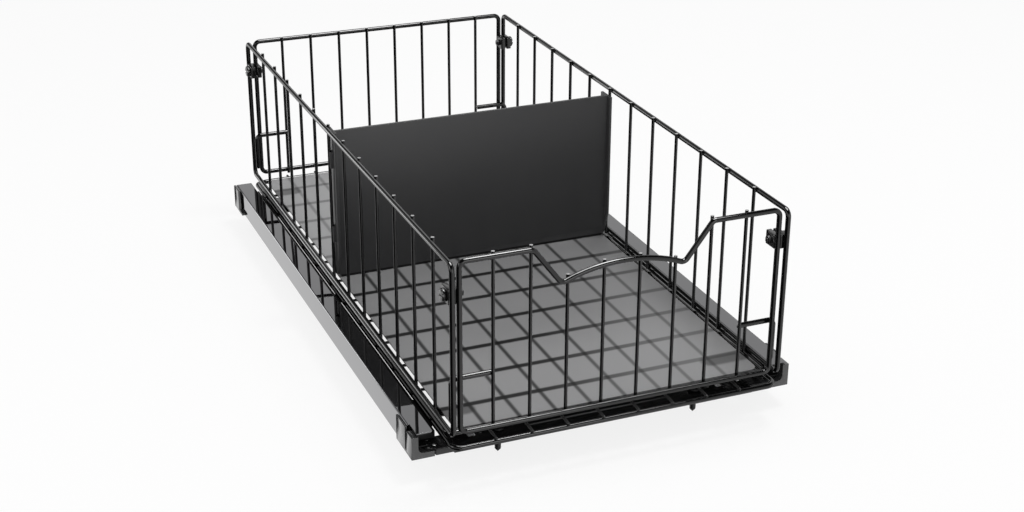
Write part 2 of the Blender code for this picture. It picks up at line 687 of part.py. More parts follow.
head_low = PLATE_TOP + CLEARANCE
head_top = head_low + HEAD_HEIGHT
head_radius = HEAD_DIAMETER / 2
screw_profile = [
    (0, head_top),
    *[(head_radius * out, head_low + HEAD_HEIGHT * up) for out, up in HEAD_CROWN_SHARES],
    (head_radius, head_low),
    (SCREW_DIAMETER / 2, head_low),
    (SCREW_DIAMETER / 2, POINT_LENGTH),
    (0, 0),
]
screw_mesh = turned_mesh(screw_profile, 16)
recess_half = (RECESS_LENGTH / 2, RECESS_WIDTH / 2)
for end_label, way in ENDS.items():
    near = RUNNER_ENDS[end_label] + way * PLATE_PROUD
    for side_label, side in SIDES.items():
        x, y = side * SCREW_X, near - way * SCREW_Y_IN
        name = f"{end_label}_{side_label}_mounting_screw"
        screw = finish(name, screw_mesh.copy(), SCREW_STEEL, location=(x, y, 0))
        carry(runners, screw)
        for cross, (half_x, half_y) in enumerate((recess_half, recess_half[::-1])):
            cut(screw, f"{name}_recess_{cross}", box_mesh(
                (x - half_x, y - half_y, head_top - RECESS_DEPTH),
                (x + half_x, y + half_y, head_top + OVERRUN)))


# Floor frame: two welded loops, cross wires between them and long wires over
# the cross wires, drawn down to the lower loop at both ends.

def loop_route(half_x, half_y, z, bend):
    return [(*p.xy, z) for p in rounded_outline((-half_x, -half_y), (half_x, half_y), bend)]


side_stations = centred_row(SIDE_UPRIGHTS, SIDE_PITCH)
end_stations = centred_row(END_UPRIGHTS, END_PITCH)
cross_reach = HALF_WIDTH + CROSS_WIRE_OVERHANG

floor = finish("floor_frame", wire_mesh(
    [loop_route(HALF_WIDTH, HALF_LENGTH, LOWER_LOOP_Z, FLOOR_BEND)], FRAME_WIRE, closed=True),
    BLACK_WIRE, basket_slide)
weld(floor, "cross_wires", wire_mesh(
    [
        [(-cross_reach, y, CROSS_WIRE_Z), (cross_reach, y, CROSS_WIRE_Z)]
        for y in side_stations
    ],
    THIN_WIRE, resolution=1))
weld(floor, "upper_loop", wire_mesh(
    [loop_route(HALF_WIDTH, HALF_LENGTH - UPPER_LOOP_SETBACK, UPPER_LOOP_Z, FLOOR_BEND)],
    FRAME_WIRE, closed=True))
first, last = side_stations[0], side_stations[-1]
weld(floor, "long_wires", wire_mesh(
    [
        [
            (x, -HALF_LENGTH - THIN_WIRE / 2, CROSS_WIRE_Z),
            (x, first, LONG_WIRE_Z),
            (x, last, LONG_WIRE_Z),
            (x, HALF_LENGTH + THIN_WIRE / 2, CROSS_WIRE_Z),
        ]
        for x in end_stations
    ],
    THIN_WIRE, resolution=1))


# Side panels: a closed frame wire with thin uprights on its inner side.

for label, side in SIDES.items():
    rim = [
        (side * HALF_WIDTH, -HALF_LENGTH, PANEL_Z),
        (side * HALF_WIDTH, HALF_LENGTH, PANEL_Z),
        (side * HALF_WIDTH, HALF_LENGTH, PANEL_Z + PANEL_HEIGHT),
        (side * HALF_WIDTH, -HALF_LENGTH, PANEL_Z + PANEL_HEIGHT),
    ]
    panel = finish(f"{label}_side_panel", wire_mesh(
        [round_corners(rim, PANEL_BEND, closed=True)], FRAME_WIRE, closed=True), BLACK_WIRE, basket_slide)
    inner = side * (HALF_WIDTH - UPRIGHT_INSET)
    tip = FRAME_WIRE / 2 + UPRIGHT_OVERRUN
    weld(panel, f"{label}_uprights", wire_mesh(
        [
            [(inner, y, PANEL_Z - tip), (inner, y, PANEL_Z + PANEL_HEIGHT + tip)]
            for y in side_stations
        ],
        THIN_WIRE, resolution=1))


# End panels: the front one has a scooped top wire, and each has a hook wire at
# both ends, welded to the outermost upright and turned down behind the posts.

HOOK_RISE = 0.0395             # hook wire above the panel's bottom wire
HOOK_FOOT_RISE = 0.0085
HOOK_OUT = 0.0015              # hook leg inside the side panels' wire centre
HOOK_BEND = 0.0045
SCOOP_BEND = 0.0045

SCOOP_RADIUS = (SCOOP_FOOT_HALF_WIDTH ** 2 + SCOOP_ARCH_RISE ** 2) / (2 * SCOOP_ARCH_RISE)
END_TOP_Z = END_PANEL_Z + PANEL_HEIGHT
SCOOP_FOOT_Z = END_TOP_Z - SCOOP_DEPTH
SCOOP_CENTRE_Z = SCOOP_FOOT_Z + SCOOP_ARCH_RISE - SCOOP_RADIUS


def arch_height(x):
    return SCOOP_CENTRE_Z + math.sqrt(SCOOP_RADIUS ** 2 - x ** 2)


def front_top_height(x):
    return arch_height(x) if abs(x) < SCOOP_FOOT_HALF_WIDTH else END_TOP_Z


end_half = HALF_WIDTH - END_PANEL_INSET
arch_steps = 10
arch_xs = [SCOOP_FOOT_HALF_WIDTH * (1 - 2 * i / arch_steps) for i in range(1, arch_steps)]

for label, way in ENDS.items():
    y = way * (HALF_LENGTH - END_PANEL_SETBACK)
    base = [(-end_half, y, END_PANEL_Z), (end_half, y, END_PANEL_Z)]
    top = [(end_half, y, END_TOP_Z), (-end_half, y, END_TOP_Z)]
    rim = round_corners([*base, *top], PANEL_BEND, closed=True)
    if label == "front":
        right_slant = round_corners([
            (end_half - 2 * PANEL_BEND, y, END_TOP_Z),
            (SCOOP_HALF_WIDTH, y, END_TOP_Z),
            (SCOOP_FOOT_HALF_WIDTH, y, SCOOP_FOOT_Z),
            (arch_xs[0], y, arch_height(arch_xs[0])),
        ], SCOOP_BEND, steps=2)[1:-1]
        left_slant = [Vector((-p.x, p.y, p.z)) for p in reversed(right_slant)]
        arch = [Vector((x, y, arch_height(x))) for x in arch_xs]
        turn = len(rim) * 3 // 4
        rim = [*rim[:turn], *right_slant, *arch, *left_slant, *rim[turn:]]
    panel = finish(f"{label}_panel", wire_mesh([rim], FRAME_WIRE, closed=True), BLACK_WIRE, basket_slide)

    upright_y = y - way * UPRIGHT_INSET
    tip = FRAME_WIRE / 2 + UPRIGHT_OVERRUN
    height = front_top_height if label == "front" else lambda x: END_TOP_Z
    weld(panel, f"{label}_uprights", wire_mesh(
        [
            [(x, upright_y, END_PANEL_Z - tip), (x, upright_y, height(x) + tip)]
            for x in end_stations
        ],
        THIN_WIRE, resolution=1))

    hook_y = upright_y - way * UPRIGHT_INSET
    hook_z = END_PANEL_Z + HOOK_RISE
    for side_label, side in SIDES.items():
        start = side * max(end_stations)
        out = side * (HALF_WIDTH - HOOK_OUT)
        bend = round_corners([
            (start, hook_y, hook_z),
            (out, hook_y, hook_z),
            (out, hook_y, END_PANEL_Z + HOOK_FOOT_RISE),
        ], HOOK_BEND)
        weld(panel, f"{label}_{side_label}_hook", wire_mesh([bend], FRAME_WIRE))


# Corner clips: a split block behind both posts with a groove for each, a slotted
# knob on a screw through its two jaws, and a hex nut on its inner face.

CLIP_DROP = 0.0241             # clip's middle below the side panel's top wire
CLIP_HEIGHT = 0.0108
CLIP_REACH_IN = 0.008          # block's inner face inside the side panel's wire centre
CLIP_REACH_OUT = 0.0019
CLIP_FRONT = 0.002             # block face behind the side panel's post centre
CLIP_DEPTH = 0.0137
CLIP_EDGE = 0.0006
CLIP_SPLIT = 0.0021            # gap between the jaws
CLIP_SPLIT_IN = 0.0042         # gap's inner face inside the side panel's wire centre
CLIP_BRIDGE = 0.0035           # solid part in front of the gap
CLIP_SCREW_Y = 0.009
KNOB_DIAMETER = 0.0098
KNOB_THICKNESS = 0.0027
KNOB_FACE_SHARE = 0.8          # flat face, of the knob's radius
KNOB_RIM_SHARE = 0.7           # straight rim, of the knob's thickness
KNOB_SLOT_WIDTH = 0.0013
KNOB_SLOT_DEPTH = 0.001
KNOB_SLOT_TILT = -14           # degrees from level
CLIP_SCREW_DIAMETER = 0.003
NUT_ACROSS = 0.0055
NUT_THICKNESS = 0.0024

CLIP_Z = PANEL_Z + PANEL_HEIGHT - CLIP_DROP
CLIP_INSIDE = HALF_WIDTH - CLIP_REACH_IN
CLIP_OUTSIDE = HALF_WIDTH + CLIP_REACH_OUT
post_groove = FRAME_WIRE + 2 * CLEARANCE
nut_corners = NUT_ACROSS / math.cos(math.radians(30))
for side_label, side in SIDES.items():
    for end_label, way in ENDS.items():
        name = f"{end_label}_{side_label}"
        screw_y = way * (HALF_LENGTH - CLIP_SCREW_Y)
        near = way * (HALF_LENGTH - CLIP_FRONT)
        far = near - way * CLIP_DEPTH
        block = finish(f"{name}_clip", sided(
            side, (CLIP_INSIDE, min(near, far), CLIP_Z - CLIP_HEIGHT / 2),
            (CLIP_OUTSIDE, max(near, far), CLIP_Z + CLIP_HEIGHT / 2)), BLACK_PLASTIC, basket_slide)
        bevel = block.modifiers.new("edges", "BEVEL")
        bevel.width = CLIP_EDGE
        bevel.segments = 2
        low, high = CLIP_Z - CLIP_HEIGHT, CLIP_Z + CLIP_HEIGHT
        side_post = (side * HALF_WIDTH, way * HALF_LENGTH)
        end_post = (side * end_half, way * (HALF_LENGTH - END_PANEL_SETBACK))
        for post_label, (px, py) in {"side_post": side_post, "end_post": end_post}.items():
            cut(block, f"{name}_{post_label}", cylinder_mesh(
                post_groove, (px, py, low), (px, py, high), 12))
        split_end = near - way * CLIP_BRIDGE
        split_back = far - way * OVERRUN
        split_x = HALF_WIDTH - CLIP_SPLIT_IN
        cut(block, f"{name}_split", sided(
            side, (split_x, min(split_end, split_back), low),
            (split_x + CLIP_SPLIT, max(split_end, split_back), high)))
        inside, outside = side * (CLIP_INSIDE - OVERRUN), side * (CLIP_OUTSIDE + OVERRUN)
        cut(block, f"{name}_bore", cylinder_mesh(
            CLIP_SCREW_DIAMETER + 2 * CLEARANCE, (inside, screw_y, CLIP_Z), (outside, screw_y, CLIP_Z), 16))

        knob_face = HALF_WIDTH + FRAME_WIRE / 2 + CLEARANCE + KNOB_THICKNESS
        knob_back = knob_face - KNOB_THICKNESS
        screw_end = CLIP_INSIDE - CLEARANCE - NUT_THICKNESS - CLEARANCE * 2
        profile = [
            (0, KNOB_THICKNESS),
            (KNOB_DIAMETER / 2 * KNOB_FACE_SHARE, KNOB_THICKNESS),
            (KNOB_DIAMETER / 2, KNOB_THICKNESS * KNOB_RIM_SHARE),
            (KNOB_DIAMETER / 2, 0),
            (CLIP_SCREW_DIAMETER / 2, 0),
            (CLIP_SCREW_DIAMETER / 2, screw_end - knob_back),
            (0, screw_end - knob_back),
        ]
        knob_mesh = turned_mesh(profile)
        knob_mesh.transform(Matrix.Rotation(math.radians(90) * side, 4, "Y"))
        knob = finish(f"{name}_clip_knob", knob_mesh, BLACK_PLASTIC,
                      location=(side * knob_back, screw_y, CLIP_Z))
        carry(basket_slide, knob)
        slot = sided(
            side, (knob_face - KNOB_SLOT_DEPTH, screw_y - KNOB_DIAMETER, CLIP_Z - KNOB_SLOT_WIDTH / 2),
            (knob_face + OVERRUN, screw_y + KNOB_DIAMETER, CLIP_Z + KNOB_SLOT_WIDTH / 2))
        axis = Matrix.Translation((0, screw_y, CLIP_Z))
        tilt = Matrix.Rotation(math.radians(KNOB_SLOT_TILT), 4, "X")
        slot.transform(axis @ tilt @ axis.inverted())
        cut(knob, f"{name}_knob_slot", slot)

        nut_faces = [
            (side * (CLIP_INSIDE - CLEARANCE - thickness), screw_y, CLIP_Z)
            for thickness in (NUT_THICKNESS, 0)
        ]
        nut = finish(
            f"{name}_clip_nut", cylinder_mesh(nut_corners, *nut_faces, 6), SCREW_STEEL, basket_slide)
        nut_bore = (side * (CLIP_INSIDE - NUT_THICKNESS - OVERRUN), screw_y, CLIP_Z)
        cut(nut, f"{name}_nut_bore", cylinder_mesh(
            CLIP_SCREW_DIAMETER + 2 * CLEARANCE, nut_bore, (outside, screw_y, CLIP_Z), 16))


# Liner mat: a thin frosted sheet inside the upper loop, on the long wires.

MAT_THICKNESS = 0.0012
MAT_EDGE_GAP = 0.0068          # mat edge inside the side panels' wire centre
MAT_END_GAP = 0.0004
MAT_CORNER = 0.006

mat_half_x = HALF_WIDTH - MAT_EDGE_GAP
mat_half_y = HALF_LENGTH - UPPER_LOOP_SETBACK - FRAME_WIRE / 2 - MAT_END_GAP
mat_bottom = LONG_WIRE_Z + THIN_WIRE / 2 + CLEARANCE
finish("liner_mat", slab_mesh(
    [rounded_outline((-mat_half_x, -mat_half_y), (mat_half_x, mat_half_y), MAT_CORNER)],
    MAT_THICKNESS, Matrix.Translation((0, 0, mat_bottom))), FROSTED, basket_slide)


# Divider: a plastic sheet with end flanges, and on each flange two snap jaws
# that slide down a side upright.

DIVIDER_SHEET = 0.0024
DIVIDER_FLANGE = 0.018
DIVIDER_FLANGE_SHEET = 0.0022
DIVIDER_RISE = 0.0022          # divider foot above the mat
DIVIDER_DROP = 0.0027          # divider's top below the side panels' top wire centre
DIVIDER_OFFSET = 0.0019        # sheet in front of the uprights it grips
FLANGE_CHAMFER = 0.008
FLANGE_CHAMFER_RISE = 0.021
DIVIDER_STATION = 6            # which side upright it sits on
JAW_HEIGHT = 0.014
JAW_WALL = 0.0016
JAW_REACH = 0.0004             # jaws past the upright's centre line
JAW_RISE = 0.03                # lower jaws above the divider's foot
JAW_DROP = 0.0178              # upper jaws below the divider's top

upright_x = HALF_WIDTH - UPRIGHT_INSET
flange_outside = upright_x - THIN_WIRE / 2 - CLEARANCE * 3
flange_inside = flange_outside - DIVIDER_FLANGE_SHEET
grip_y = side_stations[DIVIDER_STATION]
divider_foot = mat_bottom + MAT_THICKNESS + DIVIDER_RISE
divider_top = PANEL_Z + PANEL_HEIGHT - DIVIDER_DROP
jaw_feet = (divider_foot + JAW_RISE, divider_top - JAW_DROP - JAW_HEIGHT)
divider_lift = new_empty("divider_lift", (0, 0, 0))
divider_lift.location = (0, grip_y, divider_foot)
carry(basket_slide, divider_lift)
bpy.context.view_layer.update()

sheet_front = grip_y - DIVIDER_OFFSET - DIVIDER_SHEET / 2
divider = finish("divider", box_mesh(
    (-flange_inside - CLEARANCE, sheet_front, divider_foot),
    (flange_inside + CLEARANCE, sheet_front + DIVIDER_SHEET, divider_top)), CHARCOAL, divider_lift)
flange_outline = [
    (grip_y - DIVIDER_FLANGE / 2, divider_foot + FLANGE_CHAMFER_RISE),
    (grip_y - DIVIDER_FLANGE / 2 + FLANGE_CHAMFER, divider_foot),
    (grip_y + DIVIDER_FLANGE / 2, divider_foot),
    (grip_y + DIVIDER_FLANGE / 2, divider_top),
    (grip_y - DIVIDER_FLANGE / 2, divider_top),
]
for label, side in SIDES.items():
    lay_on_side = Matrix.Rotation(math.radians(90), 4, "Z") @ Matrix.Rotation(math.radians(90), 4, "X")
    low_x = min(side * flange_inside, side * flange_outside)
    weld(divider, f"{label}_flange", slab_mesh(
        [flange_outline], DIVIDER_FLANGE_SHEET, Matrix.Translation((low_x, 0, 0)) @ lay_on_side))
    jaw_gap = THIN_WIRE / 2 + CLEARANCE
    jaws = bmesh.new()
    for jaw_foot in jaw_feet:
        for way in ENDS.values():
            ys = sorted((grip_y + way * jaw_gap, grip_y + way * (jaw_gap + JAW_WALL)))
            jaw = sided(side, (flange_outside - CLEARANCE, ys[0], jaw_foot),
                        (upright_x + JAW_REACH, ys[1], jaw_foot + JAW_HEIGHT))
            jaws.from_mesh(jaw)
    jaw_mesh = bpy.data.meshes.new("jaws")
    jaws.to_mesh(jaw_mesh)
    jaws.free()
    weld(divider, f"{label}_jaws", jaw_mesh)
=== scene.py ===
import math

import bmesh
import bpy
from mathutils import Matrix, Vector


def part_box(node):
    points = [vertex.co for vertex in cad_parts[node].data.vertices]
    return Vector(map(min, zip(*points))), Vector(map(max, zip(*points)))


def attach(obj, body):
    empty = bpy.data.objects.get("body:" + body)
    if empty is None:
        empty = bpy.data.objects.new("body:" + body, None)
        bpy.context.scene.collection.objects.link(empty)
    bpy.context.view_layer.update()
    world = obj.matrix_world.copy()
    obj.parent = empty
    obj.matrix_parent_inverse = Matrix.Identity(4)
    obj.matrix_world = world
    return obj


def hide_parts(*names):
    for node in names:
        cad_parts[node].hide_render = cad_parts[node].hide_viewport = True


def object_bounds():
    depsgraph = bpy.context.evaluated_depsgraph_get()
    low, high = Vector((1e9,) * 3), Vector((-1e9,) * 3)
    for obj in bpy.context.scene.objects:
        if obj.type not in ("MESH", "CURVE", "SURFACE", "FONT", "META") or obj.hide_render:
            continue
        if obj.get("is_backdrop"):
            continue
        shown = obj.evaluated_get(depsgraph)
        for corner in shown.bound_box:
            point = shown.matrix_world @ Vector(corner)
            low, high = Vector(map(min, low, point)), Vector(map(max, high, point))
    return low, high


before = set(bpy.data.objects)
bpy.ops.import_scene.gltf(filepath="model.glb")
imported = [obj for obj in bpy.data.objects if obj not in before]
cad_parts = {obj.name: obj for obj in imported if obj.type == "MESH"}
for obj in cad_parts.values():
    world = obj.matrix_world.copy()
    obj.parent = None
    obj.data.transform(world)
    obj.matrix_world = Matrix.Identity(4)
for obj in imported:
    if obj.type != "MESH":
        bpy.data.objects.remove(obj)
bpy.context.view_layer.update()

# Studio: a pale floor that reads as white and keeps a faint shadow, a white wall under a
# dim ceiling, an overhead soft box, two fills, two cards that only gloss sees, and the
# photo's camera. In gloss the floor shows as two white sheets, before and behind.

FLOOR_SIZE = 8.0
FLOOR_Z = -0.0002
FLOOR_COLOUR = (0.93, 0.93, 0.93, 1)
BACKDROP_SHARE = 0.84          # of the floor's look that is plain white
SKY_LIGHT = 0.6
WALL_TOP = (0.53, 0.57)        # sine of the elevation where the wall fades to the ceiling
WALL_SHARE = 0.82
CEILING_SHARE = 0.03
SHEETS = (
    # heading in degrees from +Y towards +X, cosines off it where it fades in, strength
    (135.0, (0.28, 0.42), 1.0),
    (-22.0, (0.93, 0.975), 1.1),
)
WALL_GAP_X = -0.075            # a dark gap in the wall, behind and before, that draws
WALL_GAP_HALF = (0.17, 0.2)    # the fine black line along the side panels' wires
PLATE_SHADE = (0.02, -0.2)     # floor under the front plate, deep in its shadow
PLATE_SHADE_HALF_X = (0.118, 0.122)
PLATE_SHADE_HALF_Y = (0.011, 0.015)
CAMERA_PLACE = (-0.47877, -1.22651, 0.63067)
CAMERA_HEADING = 22.395        # degrees from +Y towards +X
CAMERA_PITCH = 23.940          # degrees below the horizon
CAMERA_ROLL = 0.237
CAMERA_LENS = 59.81
LAMP_AIM = (0, 0, 0.08)
LAMPS = (
    # name, place, width, length, power, lights soft surfaces too
    ("overhead", (0.42, -0.15, 1.9), 0.35, 0.5, 12.0, True),
    ("left_fill", (-1.7, -0.2, 0.75), 0.7, 0.9, 5.0, True),
    ("front_fill", (0.2, -2.2, 0.55), 1.2, 1.2, 9.0, True),
    ("overhead_card", (0.22, 0.05, 1.7), 1.4, 1.0, 52.0, False),
    ("left_card", (-1.1, 1.75, 0.2), 0.45, 0.45, 2.6, False),
)


def add(tree, kind, settings=None, **sockets):
    """A node with its settings, and its inputs set or linked by name or by number."""
    made = tree.nodes.new(kind)
    for key, value in (settings or {}).items():
        setattr(made, key, value)
    for key, value in sockets.items():
        socket = made.inputs[int(key[1:]) if key[1:].isdigit() else key.replace("_", " ")]
        if isinstance(value, bpy.types.NodeSocket):
            tree.links.new(value, socket)
        else:
            socket.default_value = value
    return made


def maths(tree, operation, *values, clamp=False):
    """The result of a Math node on numbers or on other nodes' outputs."""
    numbered = {f"_{place}": value for place, value in enumerate(values)}
    settings = {"operation": operation, "use_clamp": clamp}
    return add(tree, "ShaderNodeMath", settings, **numbered).outputs[0]


def ramp(tree, value, ends, levels, shape="SMOOTHSTEP"):
    """Goes from the first level to the second as the value passes from end to end."""
    return add(tree, "ShaderNodeMapRange", {"interpolation_type": shape}, Value=value,
               _1=ends[0], _2=ends[1], _3=levels[0], _4=levels[1]).outputs[0]


def blank_material(name):
    material = bpy.data.materials.new(name)
    material.use_nodes = True
    material.node_tree.nodes.clear()
    return material, material.node_tree


# Sky: white to the camera. Gloss sees the wall, its gap and the ceiling, and soft
# surfaces get an even light.
world = bpy.data.worlds.new("studio")
bpy.context.scene.world = world
world.use_nodes = True
sky = world.node_tree
sky.nodes.clear()
sky_path = add(sky, "ShaderNodeLightPath")
sky_way = add(sky, "ShaderNodeSeparateXYZ",
              Vector=add(sky, "ShaderNodeTexCoord").outputs["Generated"])
wall = ramp(sky, sky_way.outputs["Z"], WALL_TOP, (WALL_SHARE, CEILING_SHARE))
off_gap = maths(sky, "ABSOLUTE", maths(sky, "SUBTRACT", sky_way.outputs["X"], WALL_GAP_X))
gap = ramp(sky, off_gap, WALL_GAP_HALF, (CEILING_SHARE, 1.0))
sky_seen = maths(sky, "MAXIMUM", maths(sky, "MINIMUM", wall, gap),
                 sky_path.outputs["Is Camera Ray"])
seen_or_mirrored = maths(
    sky, "MAXIMUM",
    maths(sky, "MAXIMUM", sky_path.outputs["Is Camera Ray"], sky_path.outputs["Is Glossy Ray"]),
    sky_path.outputs["Is Transmission Ray"])
sky_white = add(sky, "ShaderNodeBackground", Color=(1, 1, 1, 1), Strength=sky_seen)
sky_light = add(sky, "ShaderNodeBackground", Color=(1, 1, 1, 1), Strength=SKY_LIGHT)
sky_mix = add(sky, "ShaderNodeMixShader", _0=seen_or_mirrored, _1=sky_light.outputs[0],
              _2=sky_white.outputs[0])
add(sky, "ShaderNodeOutputWorld", Surface=sky_mix.outputs[0])

# Floor: mostly white to the camera, so that a faint shadow stays, and the two sheets in
# gloss, each by the heading that the ray comes along.
floor_material, floor_tree = blank_material("studio_floor")
floor_facts = add(floor_tree, "ShaderNodeNewGeometry")
floor_path = add(floor_tree, "ShaderNodeLightPath")
floor_paint = add(floor_tree, "ShaderNodeBsdfDiffuse", Color=FLOOR_COLOUR)
floor_level_way = add(floor_tree, "ShaderNodeVectorMath", {"operation": "MULTIPLY"},
                      _0=floor_facts.outputs["Incoming"], _1=(-1, -1, 0))
floor_way = add(floor_tree, "ShaderNodeVectorMath", {"operation": "NORMALIZE"},
                _0=floor_level_way.outputs[0])
floor_glow = floor_path.outputs["Is Camera Ray"]
for sheet_heading, sheet_edge, sheet_strength in SHEETS:
    sheet_turn = math.radians(sheet_heading)
    sheet_cosine = add(floor_tree, "ShaderNodeVectorMath", {"operation": "DOT_PRODUCT"},
                       _0=floor_way.outputs[0],
                       _1=(math.sin(sheet_turn), math.cos(sheet_turn), 0)).outputs["Value"]
    sheet = ramp(floor_tree, sheet_cosine, sheet_edge, (0.0, sheet_strength))
    floor_glow = maths(floor_tree, "MAXIMUM", floor_glow, sheet)
floor_white = add(floor_tree, "ShaderNodeEmission", Color=(1, 1, 1, 1), Strength=floor_glow)
floor_share = maths(floor_tree, "MULTIPLY_ADD", floor_path.outputs["Is Camera Ray"],
                    BACKDROP_SHARE, floor_path.outputs["Is Glossy Ray"], clamp=True)
floor_place = add(floor_tree, "ShaderNodeSeparateXYZ", Vector=floor_facts.outputs["Position"])
floor_open = 0.0
for axis, middle, edge in (("X", PLATE_SHADE[0], PLATE_SHADE_HALF_X),
                           ("Y", PLATE_SHADE[1], PLATE_SHADE_HALF_Y)):
    off_middle = maths(floor_tree, "ABSOLUTE", maths(
        floor_tree, "SUBTRACT", floor_place.outputs[axis], middle))
    floor_open = maths(floor_tree, "MAXIMUM", floor_open,
                       ramp(floor_tree, off_middle, edge, (0.0, 1.0), "LINEAR"))
floor_mix = add(floor_tree, "ShaderNodeMixShader",
                _0=maths(floor_tree, "MULTIPLY", floor_share, floor_open),
                _1=floor_paint.outputs[0], _2=floor_white.outputs[0])
add(floor_tree, "ShaderNodeOutputMaterial", Surface=floor_mix.outputs[0])

floor_mesh = bpy.data.meshes.new("studio_floor")
floor_half = FLOOR_SIZE / 2
floor_mesh.from_pydata([
    (-floor_half, -floor_half, FLOOR_Z), (floor_half, -floor_half, FLOOR_Z),
    (floor_half, floor_half, FLOOR_Z), (-floor_half, floor_half, FLOOR_Z),
], [], [(0, 1, 2, 3)])
floor_mesh.materials.append(floor_material)
studio_floor = bpy.data.objects.new("studio_floor", floor_mesh)
bpy.context.scene.collection.objects.link(studio_floor)
studio_floor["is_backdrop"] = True

for lamp_name, lamp_place, lamp_width, lamp_length, lamp_power, lights_soft in LAMPS:
    lamp = bpy.data.lights.new(lamp_name, "AREA")
    lamp.shape = "RECTANGLE"
    lamp.size = lamp_width
    lamp.size_y = lamp_length
    lamp.energy = lamp_power
    lamp_object = bpy.data.objects.new(lamp_name, lamp)
    lamp_object.location = lamp_place
    lamp_object.visible_diffuse = lights_soft
    aim = Vector(LAMP_AIM) - Vector(lamp_place)
    lamp_object.rotation_euler = aim.to_track_quat("-Z", "Y").to_euler()
    bpy.context.scene.collection.objects.link(lamp_object)

camera_data = bpy.data.cameras.new("photo_view")
camera_data.lens = CAMERA_LENS
camera = bpy.data.objects.new("photo_view", camera_data)
heading, pitch = math.radians(CAMERA_HEADING), math.radians(CAMERA_PITCH)
look = Vector((
    math.sin(heading) * math.cos(pitch), math.cos(heading) * math.cos(pitch), -math.sin(pitch)))
roll = Matrix.Rotation(math.radians(CAMERA_ROLL), 3, "Z").to_quaternion()
turn = look.to_track_quat("-Z", "Y") @ roll
camera.matrix_world = Matrix.Translation(CAMERA_PLACE) @ turn.to_matrix().to_4x4()
bpy.context.scene.collection.objects.link(camera)
bpy.context.scene.camera = camera
bpy.context.scene.view_settings.view_transform = "Standard"


# Runner covers: thin sheet steel, folded and polished as bright as a mirror. Each caps its
# runner with a flat top, an outer wall slotted near the back, and a short inner lip.

cover_low, cover_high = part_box("right_rail_cover")
COVER_INSIDE = cover_low.x
COVER_OUTSIDE = cover_high.x
COVER_BOTTOM = cover_low.z
RUNNER_TOP = cover_high.z
COVER_LIP = 0.0026
COVER_SHEET = 0.001
COVER_FOLD = 0.0011            # outer radius of the folds
COVER_INNER_FOLD = 0.0001375   # inner radius of the folds
COVER_TRIM = 0.0019            # of the top, cut away with the wall's front end
COVER_CORNER = 0.0025          # rounding of the top's inner front corner
COVER_WALL_FRONT = -0.2342
COVER_CUT = 0.002              # how far a cutter passes the sheet
PAD_BACK = -0.2152             # the wall's foot is cut away up to the bracket's pad back
SLOT_Y = (0.2315, 0.2425)
SLOT_Z = (0.0192, 0.0367)
SLOT_ROUND = 0.0015
SLOT_NOTCH = 0.0005            # the wall's foot ends this far in front of the slot
CUT_EDGE = 0.00018             # softened cut edges
SOFT_ANGLE = 35                # edges that turn more degrees than this are softened
PATCH_ENDS = (0.3, 0.7)        # the noise that counts as no patch and as a full one
COVER_COLOUR = (0.18, 0.18, 0.185, 1)
INSIDE_SHADE_COLOUR = (0.004, 0.004, 0.004, 1)


def group_tree(name, inputs, outputs):
    """An empty shader group with its sockets; returns the tree and its two end nodes."""
    tree = bpy.data.node_groups.new(name, "ShaderNodeTree")
    for label, kind, value in inputs:
        socket = tree.interface.new_socket(label, in_out="INPUT", socket_type=kind)
        socket.default_value = value
    for label, kind in outputs:
        tree.interface.new_socket(label, in_out="OUTPUT", socket_type=kind)
    return tree, tree.nodes.new("NodeGroupInput"), tree.nodes.new("NodeGroupOutput")


# Handled surface: slow patches that shift the colour and gloss a little, as thin
# dust and finger marks do, and a fine grain for the bump.
handled, handled_in, handled_out = group_tree(
    "handled_surface",
    [
        ("Colour", "NodeSocketColor", (0.5, 0.5, 0.5, 1)),
        ("Colour Shift", "NodeSocketFloat", 0.1),
        ("Roughness", "NodeSocketFloat", 0.3),
        ("Roughness Shift", "NodeSocketFloat", 0.05),
        ("Patch Scale", "NodeSocketFloat", 14.0),
        ("Grain Scale", "NodeSocketFloat", 1200.0),
    ],
    [
        ("Colour", "NodeSocketColor"),
        ("Roughness", "NodeSocketFloat"),
        ("Height", "NodeSocketFloat"),
    ],
)
handled_place = add(handled, "ShaderNodeTexCoord").outputs["Object"]
patch_noise = add(handled, "ShaderNodeTexNoise", Vector=handled_place,
                  Scale=handled_in.outputs["Patch Scale"], Detail=4.0, Roughness=0.55)
patch = ramp(handled, patch_noise.outputs[0], PATCH_ENDS, (-1.0, 1.0), "LINEAR")
patch_shift = maths(handled, "MULTIPLY_ADD", patch, handled_in.outputs["Colour Shift"], 1.0)
patch_tint = add(handled, "ShaderNodeVectorMath", {"operation": "SCALE"},
                 _0=handled_in.outputs["Colour"], Scale=patch_shift)
patch_gloss = maths(handled, "MULTIPLY_ADD", patch, handled_in.outputs["Roughness Shift"],
                    handled_in.outputs["Roughness"], clamp=True)
grain = add(handled, "ShaderNodeTexNoise", Vector=handled_place,
            Scale=handled_in.outputs["Grain Scale"], Detail=2.0, Roughness=0.5)
handled.links.new(patch_tint.outputs[0], handled_out.inputs["Colour"])
handled.links.new(patch_gloss, handled_out.inputs["Roughness"])
handled.links.new(grain.outputs[0], handled_out.inputs["Height"])

